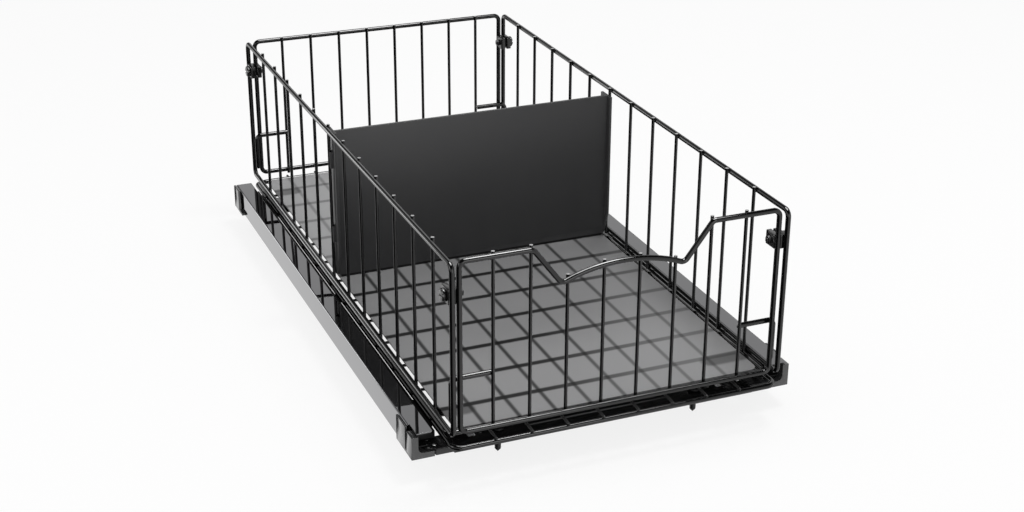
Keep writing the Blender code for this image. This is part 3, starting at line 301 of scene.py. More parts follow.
# Drawn streaks: fine lines along the sheet's rolling direction, which is Y here.
drawn, drawn_in, drawn_out = group_tree(
    "drawn_streaks",
    [("Across", "NodeSocketFloat", 2600.0), ("Along", "NodeSocketFloat", 22.0)],
    [("Streak", "NodeSocketFloat")],
)
streak_scale = add(drawn, "ShaderNodeCombineXYZ", X=drawn_in.outputs["Across"],
                   Y=drawn_in.outputs["Along"], Z=drawn_in.outputs["Across"])
streak_place = add(drawn, "ShaderNodeVectorMath", {"operation": "MULTIPLY"},
                   _0=add(drawn, "ShaderNodeTexCoord").outputs["Object"],
                   _1=streak_scale.outputs[0])
streaks = add(drawn, "ShaderNodeTexNoise", Vector=streak_place.outputs[0], Scale=1.0, Detail=3.0)
drawn.links.new(streaks.outputs[0], drawn_out.inputs["Streak"])


def finish_material(name, colour, roughness, grain_scale, bump_height, colour_shift=0.1,
                    roughness_shift=0.05, patch_scale=14.0, streak_share=0.0, **plain):
    """A Principled finish with handled patches, a fine grain, and streaks if any."""
    material, tree = blank_material(name)
    surface = add(tree, "ShaderNodeGroup", {"node_tree": handled}, Colour=colour,
                  Colour_Shift=colour_shift, Roughness=roughness,
                  Roughness_Shift=roughness_shift, Patch_Scale=patch_scale,
                  Grain_Scale=grain_scale)
    height, gloss = surface.outputs["Height"], surface.outputs["Roughness"]
    if streak_share:
        height = add(tree, "ShaderNodeGroup", {"node_tree": drawn}).outputs["Streak"]
        gloss = maths(tree, "MULTIPLY_ADD", height, streak_share, gloss, clamp=True)
    bump = add(tree, "ShaderNodeBump", Strength=1.0, Distance=bump_height, Height=height)
    shader = add(tree, "ShaderNodeBsdfPrincipled", Base_Color=surface.outputs["Colour"],
                 Roughness=gloss, Normal=bump.outputs[0], **plain)
    add(tree, "ShaderNodeOutputMaterial", Surface=shader.outputs[0])
    return material


def base_colour(material):
    """The base colour input of a finish."""
    shader = next(n for n in material.node_tree.nodes if n.type == "BSDF_PRINCIPLED")
    return shader.inputs["Base Color"]


def tint_where(material, mask, colour):
    """Turn a finish's base colour into another one where the mask is 1."""
    base = base_colour(material)
    tint = add(material.node_tree, "ShaderNodeMix", {"data_type": "RGBA"}, _0=mask,
               _6=base.links[0].from_socket, _7=colour)
    material.node_tree.links.new(tint.outputs[2], base)


def settled(piece, body, slot, *nodes):
    """Apply the piece's modifiers, leave it at the origin, and hand it to its body."""
    bpy.context.view_layer.update()
    mesh = bpy.data.meshes.new_from_object(
        piece.evaluated_get(bpy.context.evaluated_depsgraph_get()))
    mesh.transform(piece.matrix_world)
    piece.modifiers.clear()
    material = piece.data.materials[0]
    piece.data = mesh
    piece.matrix_world = Matrix()
    mesh.materials.clear()
    mesh.materials.append(material)
    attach(piece, body)
    if nodes:
        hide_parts(*nodes)
    return piece


def place_piece(name, mesh, material):
    """A new object of one material, in the scene."""
    piece = bpy.data.objects.new(name, mesh)
    mesh.materials.clear()
    mesh.materials.append(material)
    bpy.context.scene.collection.objects.link(piece)
    return piece


def arc_corner(points, radius, closed=False, steps=4):
    """Replace each corner of a polyline with an arc."""
    points = [Vector(p) for p in points]
    made = []
    for i, corner in enumerate(points):
        if not closed and i in (0, len(points) - 1):
            made.append(corner)
            continue
        before = (points[i - 1] - corner).normalized()
        after = (points[(i + 1) % len(points)] - corner).normalized()
        half_angle = before.angle(after) / 2
        start = corner + before * radius / math.tan(half_angle)
        end = corner + after * radius / math.tan(half_angle)
        centre = corner + (before + after).normalized() * radius / math.sin(half_angle)
        for step in range(steps + 1):
            arm = (start - centre).lerp(end - centre, step / steps).normalized() * radius
            made.append(centre + arm)
    return made


def prism(outline, axis, low, high):
    """A closed outline of 2D points, run along X, Y or Z between two levels."""
    order = {"X": (2, 0, 1), "Y": (0, 2, 1), "Z": (0, 1, 2)}[axis]
    work = bmesh.new()
    rings = []
    for level in (low, high):
        ring = []
        for u, v in outline:
            place = (u, v, level)
            ring.append(work.verts.new([place[i] for i in order]))
        rings.append(ring)
    count = len(outline)
    for i in range(count):
        j = (i + 1) % count
        work.faces.new((rings[0][i], rings[0][j], rings[1][j], rings[1][i]))
    work.faces.new(rings[0][::-1])
    work.faces.new(rings[1])
    bmesh.ops.recalc_face_normals(work, faces=work.faces)
    mesh = bpy.data.meshes.new("prism")
    work.to_mesh(mesh)
    work.free()
    return mesh


def rectangle(low, high):
    """The four corners between two opposite ones, in two dimensions."""
    return [(low[0], low[1]), (high[0], low[1]), (high[0], high[1]), (low[0], high[1])]


def take_away(piece, mesh):
    """Cut the piece with a mesh; returns the cutter, to be removed once it has cut."""
    tool = bpy.data.objects.new("cutter", mesh)
    tool.hide_render = True
    bpy.context.scene.collection.objects.link(tool)
    cut = piece.modifiers.new("cut", "BOOLEAN")
    cut.object = tool
    cut.operation = "DIFFERENCE"
    cut.solver = "EXACT"
    return tool


def soften_edges(piece, width):
    """Round the piece's sharp edges to a width."""
    bevel = piece.modifiers.new("edges", "BEVEL")
    bevel.width = width
    bevel.segments = 2
    bevel.limit_method = "ANGLE"
    bevel.angle_limit = math.radians(SOFT_ANGLE)
    bevel.harden_normals = True
    return piece


def cover_skin(inset, fold):
    """The right cover's section line, this far inside its outer skin."""
    return arc_corner([
        (COVER_INSIDE + inset, RUNNER_TOP - COVER_LIP, 0),
        (COVER_INSIDE + inset, RUNNER_TOP - inset, 0),
        (COVER_OUTSIDE - inset, RUNNER_TOP - inset, 0),
        (COVER_OUTSIDE - inset, COVER_BOTTOM, 0),
    ], fold)


cover_steel = finish_material(
    "bright_cover_steel", COVER_COLOUR, roughness=0.015, grain_scale=900.0,
    bump_height=0.0000001, colour_shift=0.02, roughness_shift=0.005, patch_scale=9.0,
    Metallic=1.0)

# Painted shade: the wall's cut edges, its inner face and the top's underside are made
# near-black, so the slot and the cover's inside read as in shadow. Only its outer skin is bright.
cover_tree = cover_steel.node_tree
cover_place = add(cover_tree, "ShaderNodeSeparateXYZ",
                  Vector=add(cover_tree, "ShaderNodeTexCoord").outputs["Object"])
inside_skin = ramp(
    cover_tree, maths(cover_tree, "ABSOLUTE", cover_place.outputs["X"]),
    (COVER_OUTSIDE - 2 * CUT_EDGE, COVER_OUTSIDE - CUT_EDGE / 2), (1.0, 0.0), "LINEAR")
under_top = ramp(
    cover_tree, cover_place.outputs["Z"],
    (RUNNER_TOP - COVER_SHEET, RUNNER_TOP - COVER_SHEET + CUT_EDGE), (1.0, 0.0), "LINEAR")
tint_where(cover_steel, maths(cover_tree, "MINIMUM", inside_skin, under_top), INSIDE_SHADE_COLOUR)

for label, side in (("left", -1), ("right", 1)):
    section = [(side * p.x, p.y) for p in [
        *cover_skin(0, COVER_FOLD), *reversed(cover_skin(COVER_SHEET, COVER_INNER_FOLD))]]
    low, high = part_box(f"{label}_rail_cover")
    cover = place_piece(f"{label}_cover", prism(section, "Y", low.y, high.y), cover_steel)
    beyond = side * (COVER_OUTSIDE + COVER_CUT)
    within = side * (COVER_OUTSIDE - COVER_SHEET - COVER_CUT)
    reach = COVER_BOTTOM - COVER_CUT, RUNNER_TOP + COVER_CUT
    wall_front = rectangle(
        (side * (COVER_OUTSIDE - COVER_TRIM), low.y - COVER_CUT), (beyond, COVER_WALL_FRONT))
    front_foot = rectangle((within, low.y - COVER_CUT), (beyond, PAD_BACK))
    back_foot = rectangle((within, SLOT_Y[0] - SLOT_NOTCH), (beyond, high.y + COVER_CUT))
    tools = [
        take_away(cover, prism(wall_front, "Z", *reach)),
        take_away(cover, prism(front_foot, "Z", reach[0], SLOT_Z[0])),
        take_away(cover, prism(back_foot, "Z", reach[0], SLOT_Z[0])),
    ]
    corner = arc_corner([
        (side * COVER_INSIDE, low.y + COVER_CORNER + COVER_CUT, 0),
        (side * COVER_INSIDE, low.y, 0),
        (side * (COVER_INSIDE + COVER_CORNER + COVER_CUT), low.y, 0),
    ], COVER_CORNER, steps=6)[1:-1]
    outer = [
        (side * (COVER_INSIDE + COVER_CORNER), low.y - COVER_CUT),
        (side * (COVER_INSIDE - COVER_CUT), low.y - COVER_CUT),
        (side * (COVER_INSIDE - COVER_CUT), low.y + COVER_CORNER),
    ]
    tools.append(take_away(cover, prism([*[(p.x, p.y) for p in corner], *outer], "Z", *reach)))
    slot = rectangle((SLOT_Y[0], SLOT_Z[0] - COVER_CUT), (SLOT_Y[1], SLOT_Z[1]))
    slot = arc_corner([(y, z, 0) for y, z in slot], SLOT_ROUND, closed=True, steps=6)
    ends = sorted((within, beyond))
    tools.append(take_away(cover, prism([(p.x, p.y) for p in slot], "X", *ends)))
    soften_edges(cover, CUT_EDGE)
    cover.data.shade_smooth()
    flat_panels = cover.modifiers.new("flat_panels", "WEIGHTED_NORMAL")
    flat_panels.weight = 100
    flat_panels.keep_sharp = True
    settled(cover, "runners", "cover_steel", f"{label}_rail_cover")
    for tool in tools:
        bpy.data.objects.remove(tool, do_unlink=True)


# Runner brackets: dark plastic mouldings at both ends of both runners, which stand on the
# cabinet's floor and carry the channels. Their edges are rounded as a moulding's are.

MERGE_DISTANCE = 0.000002
FLAT_ANGLE = 1                 # faces that turn fewer degrees than this are one
MOULDED_EDGE = 0.00015
BRACKET_COLOUR = (0.04, 0.04, 0.041, 1)


def softened(node, name, material, width):
    """A copy of a CAD node with merged corners and rounded edges."""
    work = bmesh.new()
    work.from_mesh(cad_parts[node].data)
    bmesh.ops.remove_doubles(work, verts=work.verts, dist=MERGE_DISTANCE)
    bmesh.ops.dissolve_limit(
        work, angle_limit=math.radians(FLAT_ANGLE), verts=work.verts, edges=work.edges)
    mesh = bpy.data.meshes.new(name)
    work.to_mesh(mesh)
    work.free()
    mesh.shade_smooth()
    return soften_edges(place_piece(name, mesh, material), width)


moulded_plastic = finish_material(
    "moulded_bracket_plastic", BRACKET_COLOUR, roughness=0.07, grain_scale=2400.0,
    bump_height=0.000001, colour_shift=0.04, roughness_shift=0.02, IOR=1.66)
for label in ("left", "right"):
    for end in ("front", "rear"):
        node = f"{label}_{end}_bracket"
        settled(softened(node, f"{node}_moulding", moulded_plastic, MOULDED_EDGE),
                "runners", "dark_plastic", node)


# Slides: three channels of folded steel in each runner, coated black. The outer one is
# fixed to the brackets, the middle one travels half way, and the inner one carries the
# basket on its tabs, with a small black stop at its front.

CHANNEL_EDGE = 0.00025
SLIDE_COLOUR = (0.008, 0.008, 0.0082, 1)
STOP_LOW = (0.1302, -0.2392, 0.0262)
STOP_HIGH = (0.143, -0.2338, 0.0318)

slide_coat = finish_material(
    "black_slide_coat", SLIDE_COLOUR, roughness=0.3, grain_scale=900.0, bump_height=0.000004,
    streak_share=0.1, Specular_IOR_Level=0.12)
for label in ("left", "right"):
    for member, body in (("outer", "runners"), ("mid", f"{label}_mid"), ("inner", "basket")):
        node = f"{label}_{member}_channel"
        settled(softened(node, f"{label}_{member}_slide", slide_coat, CHANNEL_EDGE),
                body, "slide_steel", node)
for label, side in (("left", -1), ("right", 1)):
    stop_face = rectangle((side * STOP_LOW[0], STOP_LOW[1]), (side * STOP_HIGH[0], STOP_HIGH[1]))
    stop_mesh = prism(stop_face, "Z", STOP_LOW[2], STOP_HIGH[2])
    stop = place_piece(f"{label}_slide_stop", stop_mesh, slide_coat)
    settled(soften_edges(stop, CHANNEL_EDGE), "basket", "slide_steel")


# Cross plates: black straps of pressed sheet steel that tie the two runners at the front
# and back, with a raised rib and screw holes. Their stepped ears lie on the brackets, and
# each ends in a short turned lip.

PLATE_COLOUR = (0.012, 0.012, 0.0125, 1)
LIP_X = (0.1326, 0.13365)
LIP_Z = (0.0184, 0.0217)
LIP_DEPTH = 0.003

plate_coat = finish_material(
    "black_plate_coat", PLATE_COLOUR, roughness=0.2, grain_scale=1500.0, bump_height=0.000004)
for end in ("front", "back"):
    node = f"{end}_cross_plate"
    settled(softened(node, f"{end}_plate", plate_coat, CHANNEL_EDGE),
            "runners", "black_sheet", node)
    low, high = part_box(node)
    lip_y = (low.y + CHANNEL_EDGE, low.y + LIP_DEPTH) if end == "front" else (
        high.y - LIP_DEPTH, high.y - CHANNEL_EDGE)
    for label, side in (("left", -1), ("right", 1)):
        lip_face = rectangle((side * LIP_X[0], lip_y[0]), (side * LIP_X[1], lip_y[1]))
        lip_mesh = prism(lip_face, "Z", *LIP_Z)
        lip = place_piece(f"{end}_plate_{label}_lip", lip_mesh, plate_coat)
        settled(lip, "runners", "black_sheet")


# Floor frame: two loops of 4 mm wire, twelve cross wires between them, and eight long
# wires over those, drawn down to the lower loop at the front and back. It is drawn steel
# rod, spot welded where it crosses and powder coated in gloss black, as the panels are.

FRAME_WIRE = 0.004
THIN_WIRE = 0.0023
WELD_SINK = 0.0004
FRAME_SIDES = 16
BEAD_SEGMENTS = 10
BEAD_RINGS = 6
SIDE_CORNERS = 4               # faces with more corners than this are cut ends
WELD_SHARE = 0.62              # weld bead's radius, of the thin wire's diameter
WIRE_COLOUR = (0.002, 0.002, 0.0021, 1)
# pale cut ends: partly bare steel, partly a painted highlight for the light on their flat faces
BARE_AND_HIGHLIT_END_COLOUR = (0.4, 0.4, 0.4, 1)
HALF_WIDTH = 0.1275
HALF_LENGTH = 0.27
LOWER_LOOP_Z = 0.0321
CROSS_WIRE_Z = 0.03485
LONG_WIRE_Z = 0.03675
UPPER_LOOP_Z = 0.0376
UPPER_LOOP_HALF = 0.257
FLOOR_BEND = 0.0075
CROSS_REACH = 0.1292
CROSS_WIRES = 12
CROSS_PITCH = 0.041
LONG_WIRES = 8
LONG_PITCH = 0.0275


def stations(count, pitch):
    """Evenly spaced places about the middle."""
    return [(i - (count - 1) / 2) * pitch for i in range(count)]


SIDE_STATIONS = stations(CROSS_WIRES, CROSS_PITCH)
END_STATIONS = stations(LONG_WIRES, LONG_PITCH)

wire_coat = finish_material(
    "gloss_black_powder_coat", WIRE_COLOUR, roughness=0.08, grain_scale=1300.0,
    bump_height=0.000002, colour_shift=0.12, roughness_shift=0.02)
cut_end = add(wire_coat.node_tree, "ShaderNodeAttribute", {"attribute_name": "cut_end"})
tint_where(wire_coat, cut_end.outputs["Fac"], BARE_AND_HIGHLIT_END_COLOUR)

# Wire work: every edge path becomes a round rod of its own radius with flat cut ends, made
# pale partly as bare steel and partly as a painted highlight for the light on their flat
# faces, and every loose point a bead of its own size, for welds and rounded tips.
work_tree = bpy.data.node_groups.new("wire_work", "GeometryNodeTree")
for label, kind in (("Geometry", "NodeSocketGeometry"), ("Sides", "NodeSocketInt"),
                    ("Bead Segments", "NodeSocketInt"), ("Bead Rings", "NodeSocketInt"),
                    ("Coat", "NodeSocketMaterial")):
    work_tree.interface.new_socket(label, in_out="INPUT", socket_type=kind)
work_tree.interface.new_socket("Geometry", in_out="OUTPUT", socket_type="NodeSocketGeometry")
work_in = work_tree.nodes.new("NodeGroupInput")
work_out = work_tree.nodes.new("NodeGroupOutput")
rod_radius = add(work_tree, "GeometryNodeInputNamedAttribute", {"data_type": "FLOAT"},
                 Name="rod_radius").outputs[0]
bead_size = add(work_tree, "GeometryNodeInputNamedAttribute", {"data_type": "FLOAT_VECTOR"},
                Name="bead_size").outputs[0]
is_bead = add(work_tree, "GeometryNodeInputNamedAttribute", {"data_type": "BOOLEAN"},
              Name="is_bead").outputs[0]
rod_paths = add(work_tree, "GeometryNodeMeshToCurve", Mesh=work_in.outputs["Geometry"])
rod_section = add(work_tree, "GeometryNodeCurvePrimitiveCircle",
                  Resolution=work_in.outputs["Sides"], Radius=1.0)
round_rods = add(work_tree, "GeometryNodeCurveToMesh", Curve=rod_paths.outputs[0],
                 Profile_Curve=rod_section.outputs[0], Scale=rod_radius, Fill_Caps=True)
bead_points = add(work_tree, "GeometryNodeMeshToPoints", Mesh=work_in.outputs["Geometry"],
                  Selection=is_bead)
bead_ball = add(work_tree, "GeometryNodeMeshUVSphere", Radius=1.0,
                Segments=work_in.outputs["Bead Segments"], Rings=work_in.outputs["Bead Rings"])
round_beads = add(work_tree, "GeometryNodeInstanceOnPoints", Points=bead_points.outputs[0],
                  Instance=bead_ball.outputs[0], Scale=bead_size)
joined = work_tree.nodes.new("GeometryNodeJoinGeometry")
for part in (round_beads, round_rods):
    work_tree.links.new(part.outputs[0], joined.inputs[0])
real_mesh = add(work_tree, "GeometryNodeRealizeInstances", Geometry=joined.outputs[0])
corner_count = add(work_tree, "GeometryNodeInputMeshFaceNeighbors").outputs["Vertex Count"]
is_cap = add(work_tree, "FunctionNodeCompare", {"data_type": "INT", "operation": "GREATER_THAN"},
             _2=corner_count, _3=SIDE_CORNERS).outputs[0]
is_side = add(work_tree, "FunctionNodeBooleanMath", {"operation": "NOT"}, _0=is_cap).outputs[0]
flat_caps = add(work_tree, "GeometryNodeSetShadeSmooth", Geometry=real_mesh.outputs[0],
                Selection=is_cap, Shade_Smooth=False)
smooth_sides = add(work_tree, "GeometryNodeSetShadeSmooth", Geometry=flat_caps.outputs[0],
                   Selection=is_side)
marked_caps = add(work_tree, "GeometryNodeStoreNamedAttribute",
                  {"data_type": "FLOAT", "domain": "FACE"}, Geometry=smooth_sides.outputs[0],
                  Name="cut_end", Value=is_cap)
coated = add(work_tree, "GeometryNodeSetMaterial", Geometry=marked_caps.outputs[0],
             Material=work_in.outputs["Coat"])
work_tree.links.new(coated.outputs[0], work_out.inputs[0])


def set_inputs(modifier, **values):
    """Set a geometry nodes modifier's inputs through their sockets' identifiers."""
    for item in modifier.node_group.interface.items_tree:
        key = item.name.replace(" ", "_")
        if item.in_out == "INPUT" and key in values:
            modifier[item.identifier] = values[key]


def wire_work(name, rods, beads, body, node):
    """Rods are (points, radius, closed) and beads are (place, size); one piece of both."""
    places, edges, radii, sizes, bead_flags = [], [], [], [], []
    for points, radius, closed in rods:
        first = len(places)
        places += [tuple(p) for p in points]
        edges += [(first + i, first + i + 1) for i in range(len(points) - 1)]
        if closed:
            edges.append((len(places) - 1, first))
        radii += [radius] * len(points)
        sizes += [(0, 0, 0)] * len(points)
        bead_flags += [False] * len(points)
    for place, size in beads:
        places.append(tuple(place))
        radii.append(0)
        sizes.append(size)
        bead_flags.append(True)
    mesh = bpy.data.meshes.new(name)
    mesh.from_pydata(places, edges, [])
    for label, kind, key, values in (
            ("rod_radius", "FLOAT", "value", radii),
            ("bead_size", "FLOAT_VECTOR", "vector", [n for size in sizes for n in size]),
            ("is_bead", "BOOLEAN", "value", bead_flags)):
        mesh.attributes.new(label, kind, "POINT").data.foreach_set(key, values)
    piece = place_piece(name, mesh, wire_coat)
    modifier = piece.modifiers.new("wire_work", "NODES")
    modifier.node_group = work_tree
    set_inputs(modifier, Sides=FRAME_SIDES, Bead_Segments=BEAD_SEGMENTS, Bead_Rings=BEAD_RINGS,
               Coat=wire_coat)
    return settled(piece, body, "black_wire", node)


def tip_beads(points, radius):
    """Round ends for an open wire."""
    return [(place, (radius, radius, radius)) for place in (points[0], points[-1])]


def weld_bead(place):
    """The small swelling of a spot weld."""
    size = THIN_WIRE * WELD_SHARE
    return Vector(place), (size, size, size)


def loop(half_x, half_y, z, bend):
    """A level rectangle of wire with rounded corners."""
    corners = [(x, y, z) for x, y in rectangle((-half_x, -half_y), (half_x, half_y))]
    return arc_corner(corners, bend, closed=True, steps=8)


rods = [
    (loop(HALF_WIDTH, HALF_LENGTH, LOWER_LOOP_Z, FLOOR_BEND), FRAME_WIRE / 2, True),
    (loop(HALF_WIDTH, UPPER_LOOP_HALF, UPPER_LOOP_Z, FLOOR_BEND), FRAME_WIRE / 2, True),
]
beads = []
for y in SIDE_STATIONS:
    cross = [(-CROSS_REACH, y, CROSS_WIRE_Z), (CROSS_REACH, y, CROSS_WIRE_Z)]
    rods.append((cross, THIN_WIRE / 2, False))
    beads += tip_beads(cross, THIN_WIRE / 2)
    for x in (-HALF_WIDTH, HALF_WIDTH):
        for z in (CROSS_WIRE_Z - THIN_WIRE / 2, CROSS_WIRE_Z + THIN_WIRE / 2):
            beads.append(weld_bead((x, y, z)))
    beads += [weld_bead((x, y, (CROSS_WIRE_Z + LONG_WIRE_Z) / 2)) for x in END_STATIONS]
for x in END_STATIONS:
    end_y = HALF_LENGTH + THIN_WIRE / 2
    long_wire = [
        (x, -end_y, CROSS_WIRE_Z),
        (x, SIDE_STATIONS[0], LONG_WIRE_Z),
        (x, SIDE_STATIONS[-1], LONG_WIRE_Z),
        (x, end_y, CROSS_WIRE_Z),
    ]
    rods.append((long_wire, THIN_WIRE / 2, False))
    beads += tip_beads(long_wire, THIN_WIRE / 2)
    for y in (-HALF_LENGTH, HALF_LENGTH):
        beads.append(weld_bead((x, y, CROSS_WIRE_Z - THIN_WIRE / 2)))
wire_work("floor_wires", rods, beads, "basket", "floor_frame")


# Side panels: a closed 4 mm wire that stands on the floor frame, with twelve thin uprights
# welded to its inner side. Their cut tips pass the top and bottom wires a little.

PANEL_Z = 0.0421
PANEL_HEIGHT = 0.129
PANEL_BEND = 0.005
UPRIGHT_WIRE = 0.0026          # the photo's uprights read a little thicker than 2.3 mm
UPRIGHT_INSET = (FRAME_WIRE + THIN_WIRE) / 2 - WELD_SINK
UPRIGHT_PAST = 0.0006
TIP = FRAME_WIRE / 2 + UPRIGHT_PAST

for label, side in (("left", -1), ("right", 1)):
    x, inner_x = side * HALF_WIDTH, side * (HALF_WIDTH - UPRIGHT_INSET)
    weld_x = side * (HALF_WIDTH - FRAME_WIRE / 2)
    corners = [(x, y, z) for y, z in rectangle(
        (-HALF_LENGTH, PANEL_Z), (HALF_LENGTH, PANEL_Z + PANEL_HEIGHT))]
    rods = [(arc_corner(corners, PANEL_BEND, closed=True, steps=8), FRAME_WIRE / 2, True)]
    beads = []
    for y in SIDE_STATIONS:
        upright = [(inner_x, y, PANEL_Z - TIP), (inner_x, y, PANEL_Z + PANEL_HEIGHT + TIP)]
        rods.append((upright, UPRIGHT_WIRE / 2, False))
        beads += [weld_bead((weld_x, y, z)) for z in (PANEL_Z, PANEL_Z + PANEL_HEIGHT)]
    wire_work(f"{label}_panel_wires", rods, beads, "basket", f"{label}_side_panel")


# End panels: the same wires with eight uprights, clipped to the side panels' posts. The
# front one dips in a scoop to reach in by, and each has a hook wire at both ends that
# turns down behind the posts.

END_PANEL_Z = 0.0433
END_HALF = 0.1216
END_PANEL_Y = 0.2677
SCOOP_HALF_WIDTH = 0.0683
SCOOP_FOOT_HALF_WIDTH = 0.047
SCOOP_DEPTH = 0.0283
SCOOP_ARCH_RISE = 0.0095
SCOOP_BEND = 0.0045
HOOK_RISE = 0.0395
HOOK_FOOT_RISE = 0.0085
HOOK_OUT = 0.0015
HOOK_BEND = 0.0045
ARCH_STEPS = 28
ARCH_TAKEN = 2                 # of the arch's points at each foot, taken up by its bend

END_TOP_Z = END_PANEL_Z + PANEL_HEIGHT
arch_radius = (SCOOP_FOOT_HALF_WIDTH ** 2 + SCOOP_ARCH_RISE ** 2) / (2 * SCOOP_ARCH_RISE)
arch_centre_z = END_TOP_Z - SCOOP_DEPTH + SCOOP_ARCH_RISE - arch_radius


def arch_height(x):
    """The level of the scoop's arch at a place across the panel."""
    return arch_centre_z + math.sqrt(arch_radius ** 2 - x ** 2)


for label, way in (("front", -1), ("back", 1)):
    y = way * END_PANEL_Y
    corners = [(x, y, z) for x, z in rectangle((-END_HALF, END_PANEL_Z), (END_HALF, END_TOP_Z))]
    rim = arc_corner(corners, PANEL_BEND, closed=True, steps=8)
    if label == "front":
        arch_xs = [SCOOP_FOOT_HALF_WIDTH * (1 - 2 * i / ARCH_STEPS) for i in range(1, ARCH_STEPS)]
        arch_xs = arch_xs[ARCH_TAKEN:-ARCH_TAKEN]
        right_slant = arc_corner([
            (END_HALF - 2 * PANEL_BEND, y, END_TOP_Z),
            (SCOOP_HALF_WIDTH, y, END_TOP_Z),
            (SCOOP_FOOT_HALF_WIDTH, y, END_TOP_Z - SCOOP_DEPTH),
            (arch_xs[0], y, arch_height(arch_xs[0])),
        ], SCOOP_BEND, steps=6)[1:-1]
        left_slant = [Vector((-p.x, p.y, p.z)) for p in reversed(right_slant)]
        arch = [Vector((x, y, arch_height(x))) for x in arch_xs]
        # The scoop goes in after the third of the rim's four corners, the top right one.
        third_corner_end = len(rim) * 3 // 4
        rim[third_corner_end:third_corner_end] = [*right_slant, *arch, *left_slant]
    rods = [(rim, FRAME_WIRE / 2, True)]
    beads = []
    upright_y = y - way * UPRIGHT_INSET
    weld_y = y - way * FRAME_WIRE / 2
    for x in END_STATIONS:
        scooped = label == "front" and abs(x) < SCOOP_FOOT_HALF_WIDTH
        top = arch_height(x) if scooped else END_TOP_Z
        upright = [(x, upright_y, END_PANEL_Z - TIP), (x, upright_y, top + TIP)]
        rods.append((upright, UPRIGHT_WIRE / 2, False))
        beads += [weld_bead((x, weld_y, z)) for z in (END_PANEL_Z, top)]
    hook_y = upright_y - way * UPRIGHT_INSET
    hook_z = END_PANEL_Z + HOOK_RISE
    for side in (-1, 1):
        start = side * max(END_STATIONS)
        out = side * (HALF_WIDTH - HOOK_OUT)
        hook = arc_corner([
            (start, hook_y, hook_z),
            (out, hook_y, hook_z),
            (out, hook_y, END_PANEL_Z + HOOK_FOOT_RISE),
        ], HOOK_BEND, steps=8)
        rods.append((hook, FRAME_WIRE / 2, False))
        beads += tip_beads(hook, FRAME_WIRE / 2)[1:]
        beads.append(weld_bead((start, (hook_y + upright_y) / 2, hook_z)))
    wire_work(f"{label}_panel_wires", rods, beads, "basket", f"{label}_panel")


# Corner clips: gloss black plastic blocks that grip both posts of each corner, drawn tight
# by a screw with a slotted round knob outside and a steel hex nut inside.

CLIP_EDGE = 0.0003
KNOB_EDGE = 0.0004
CLIP_COLOUR = (0.006, 0.006, 0.006, 1)
SCREW_COLOUR = (0.012, 0.012, 0.0125, 1)

clip_plastic = finish_material(
    "black_clip_plastic", CLIP_COLOUR, roughness=0.22, grain_scale=2200.0,
    bump_height=0.000008)
screw_steel = finish_material(
    "black_screw_steel", SCREW_COLOUR, roughness=0.3, grain_scale=1800.0,
    bump_height=0.000008, Metallic=0.6)
for end in ("front", "back"):
    for label in ("left", "right"):
        corner_name = f"{end}_{label}"
        for node, body, material, slot, width in (
                (f"{corner_name}_clip", "basket", clip_plastic, "black_plastic", CLIP_EDGE),
                (f"{corner_name}_clip_knob", f"{corner_name}_knob", clip_plastic,
                 "black_plastic", KNOB_EDGE),
                (f"{corner_name}_clip_nut", "basket", screw_steel, "screw_steel", CLIP_EDGE)):
            settled(softened(node, f"{node}_piece", material, width), body, slot, node)


# Mounting screws: black steel wood screws, driven through the cross plates into the
# cabinet's floor, with rolled threads below the sheet and a short point.

SCREW_EDGE = 0.0002
THREAD_CREST = 0.00245
THREAD_CORE = 0.00212
THREAD_PITCH = 0.0016
THREAD_STEPS = 6               # rings in one turn of the thread
THREAD_SIDES = 20
THREAD_TOP = 0.0166
POINT_LENGTH = 0.0027

thread_points = []
for ring in range(1, round(THREAD_TOP / THREAD_PITCH * THREAD_STEPS) + 1):
    z = ring * THREAD_PITCH / THREAD_STEPS
    for corner in range(THREAD_SIDES):
        share = (ring / THREAD_STEPS - corner / THREAD_SIDES) % 1
        crest = 1 - abs(2 * share - 1)
        radius = THREAD_CORE + (THREAD_CREST - THREAD_CORE) * crest
        radius = min(radius, THREAD_CREST * z / POINT_LENGTH)  # narrows to the point
        angle = 2 * math.pi * corner / THREAD_SIDES
        thread_points.append((radius * math.cos(angle), radius * math.sin(angle), z))
tip = len(thread_points)
thread_faces = []
for ring in range(0, tip - THREAD_SIDES, THREAD_SIDES):
    for i in range(THREAD_SIDES):
        j = (i + 1) % THREAD_SIDES
        thread_faces.append((ring + i, ring + j, ring + THREAD_SIDES + j, ring + THREAD_SIDES + i))
thread_faces += [((i + 1) % THREAD_SIDES, i, tip) for i in range(THREAD_SIDES)]
thread_faces.append(range(tip - THREAD_SIDES, tip))
for end in ("front", "back"):
    for label in ("left", "right"):
        node = f"{end}_{label}_mounting_screw"
        settled(softened(node, f"{node}_piece", screw_steel, SCREW_EDGE), "runners",
                "screw_steel", node)
        low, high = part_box(node)
        mesh = bpy.data.meshes.new(f"{node}_thread")
        mesh.from_pydata([*thread_points, (0, 0, 0)], [], thread_faces)
        mesh.shade_smooth()
        thread = place_piece(f"{node}_thread", mesh, screw_steel)
        thread.location = ((low.x + high.x) / 2, (low.y + high.y) / 2, 0)
        settled(thread, "runners", "screw_steel")
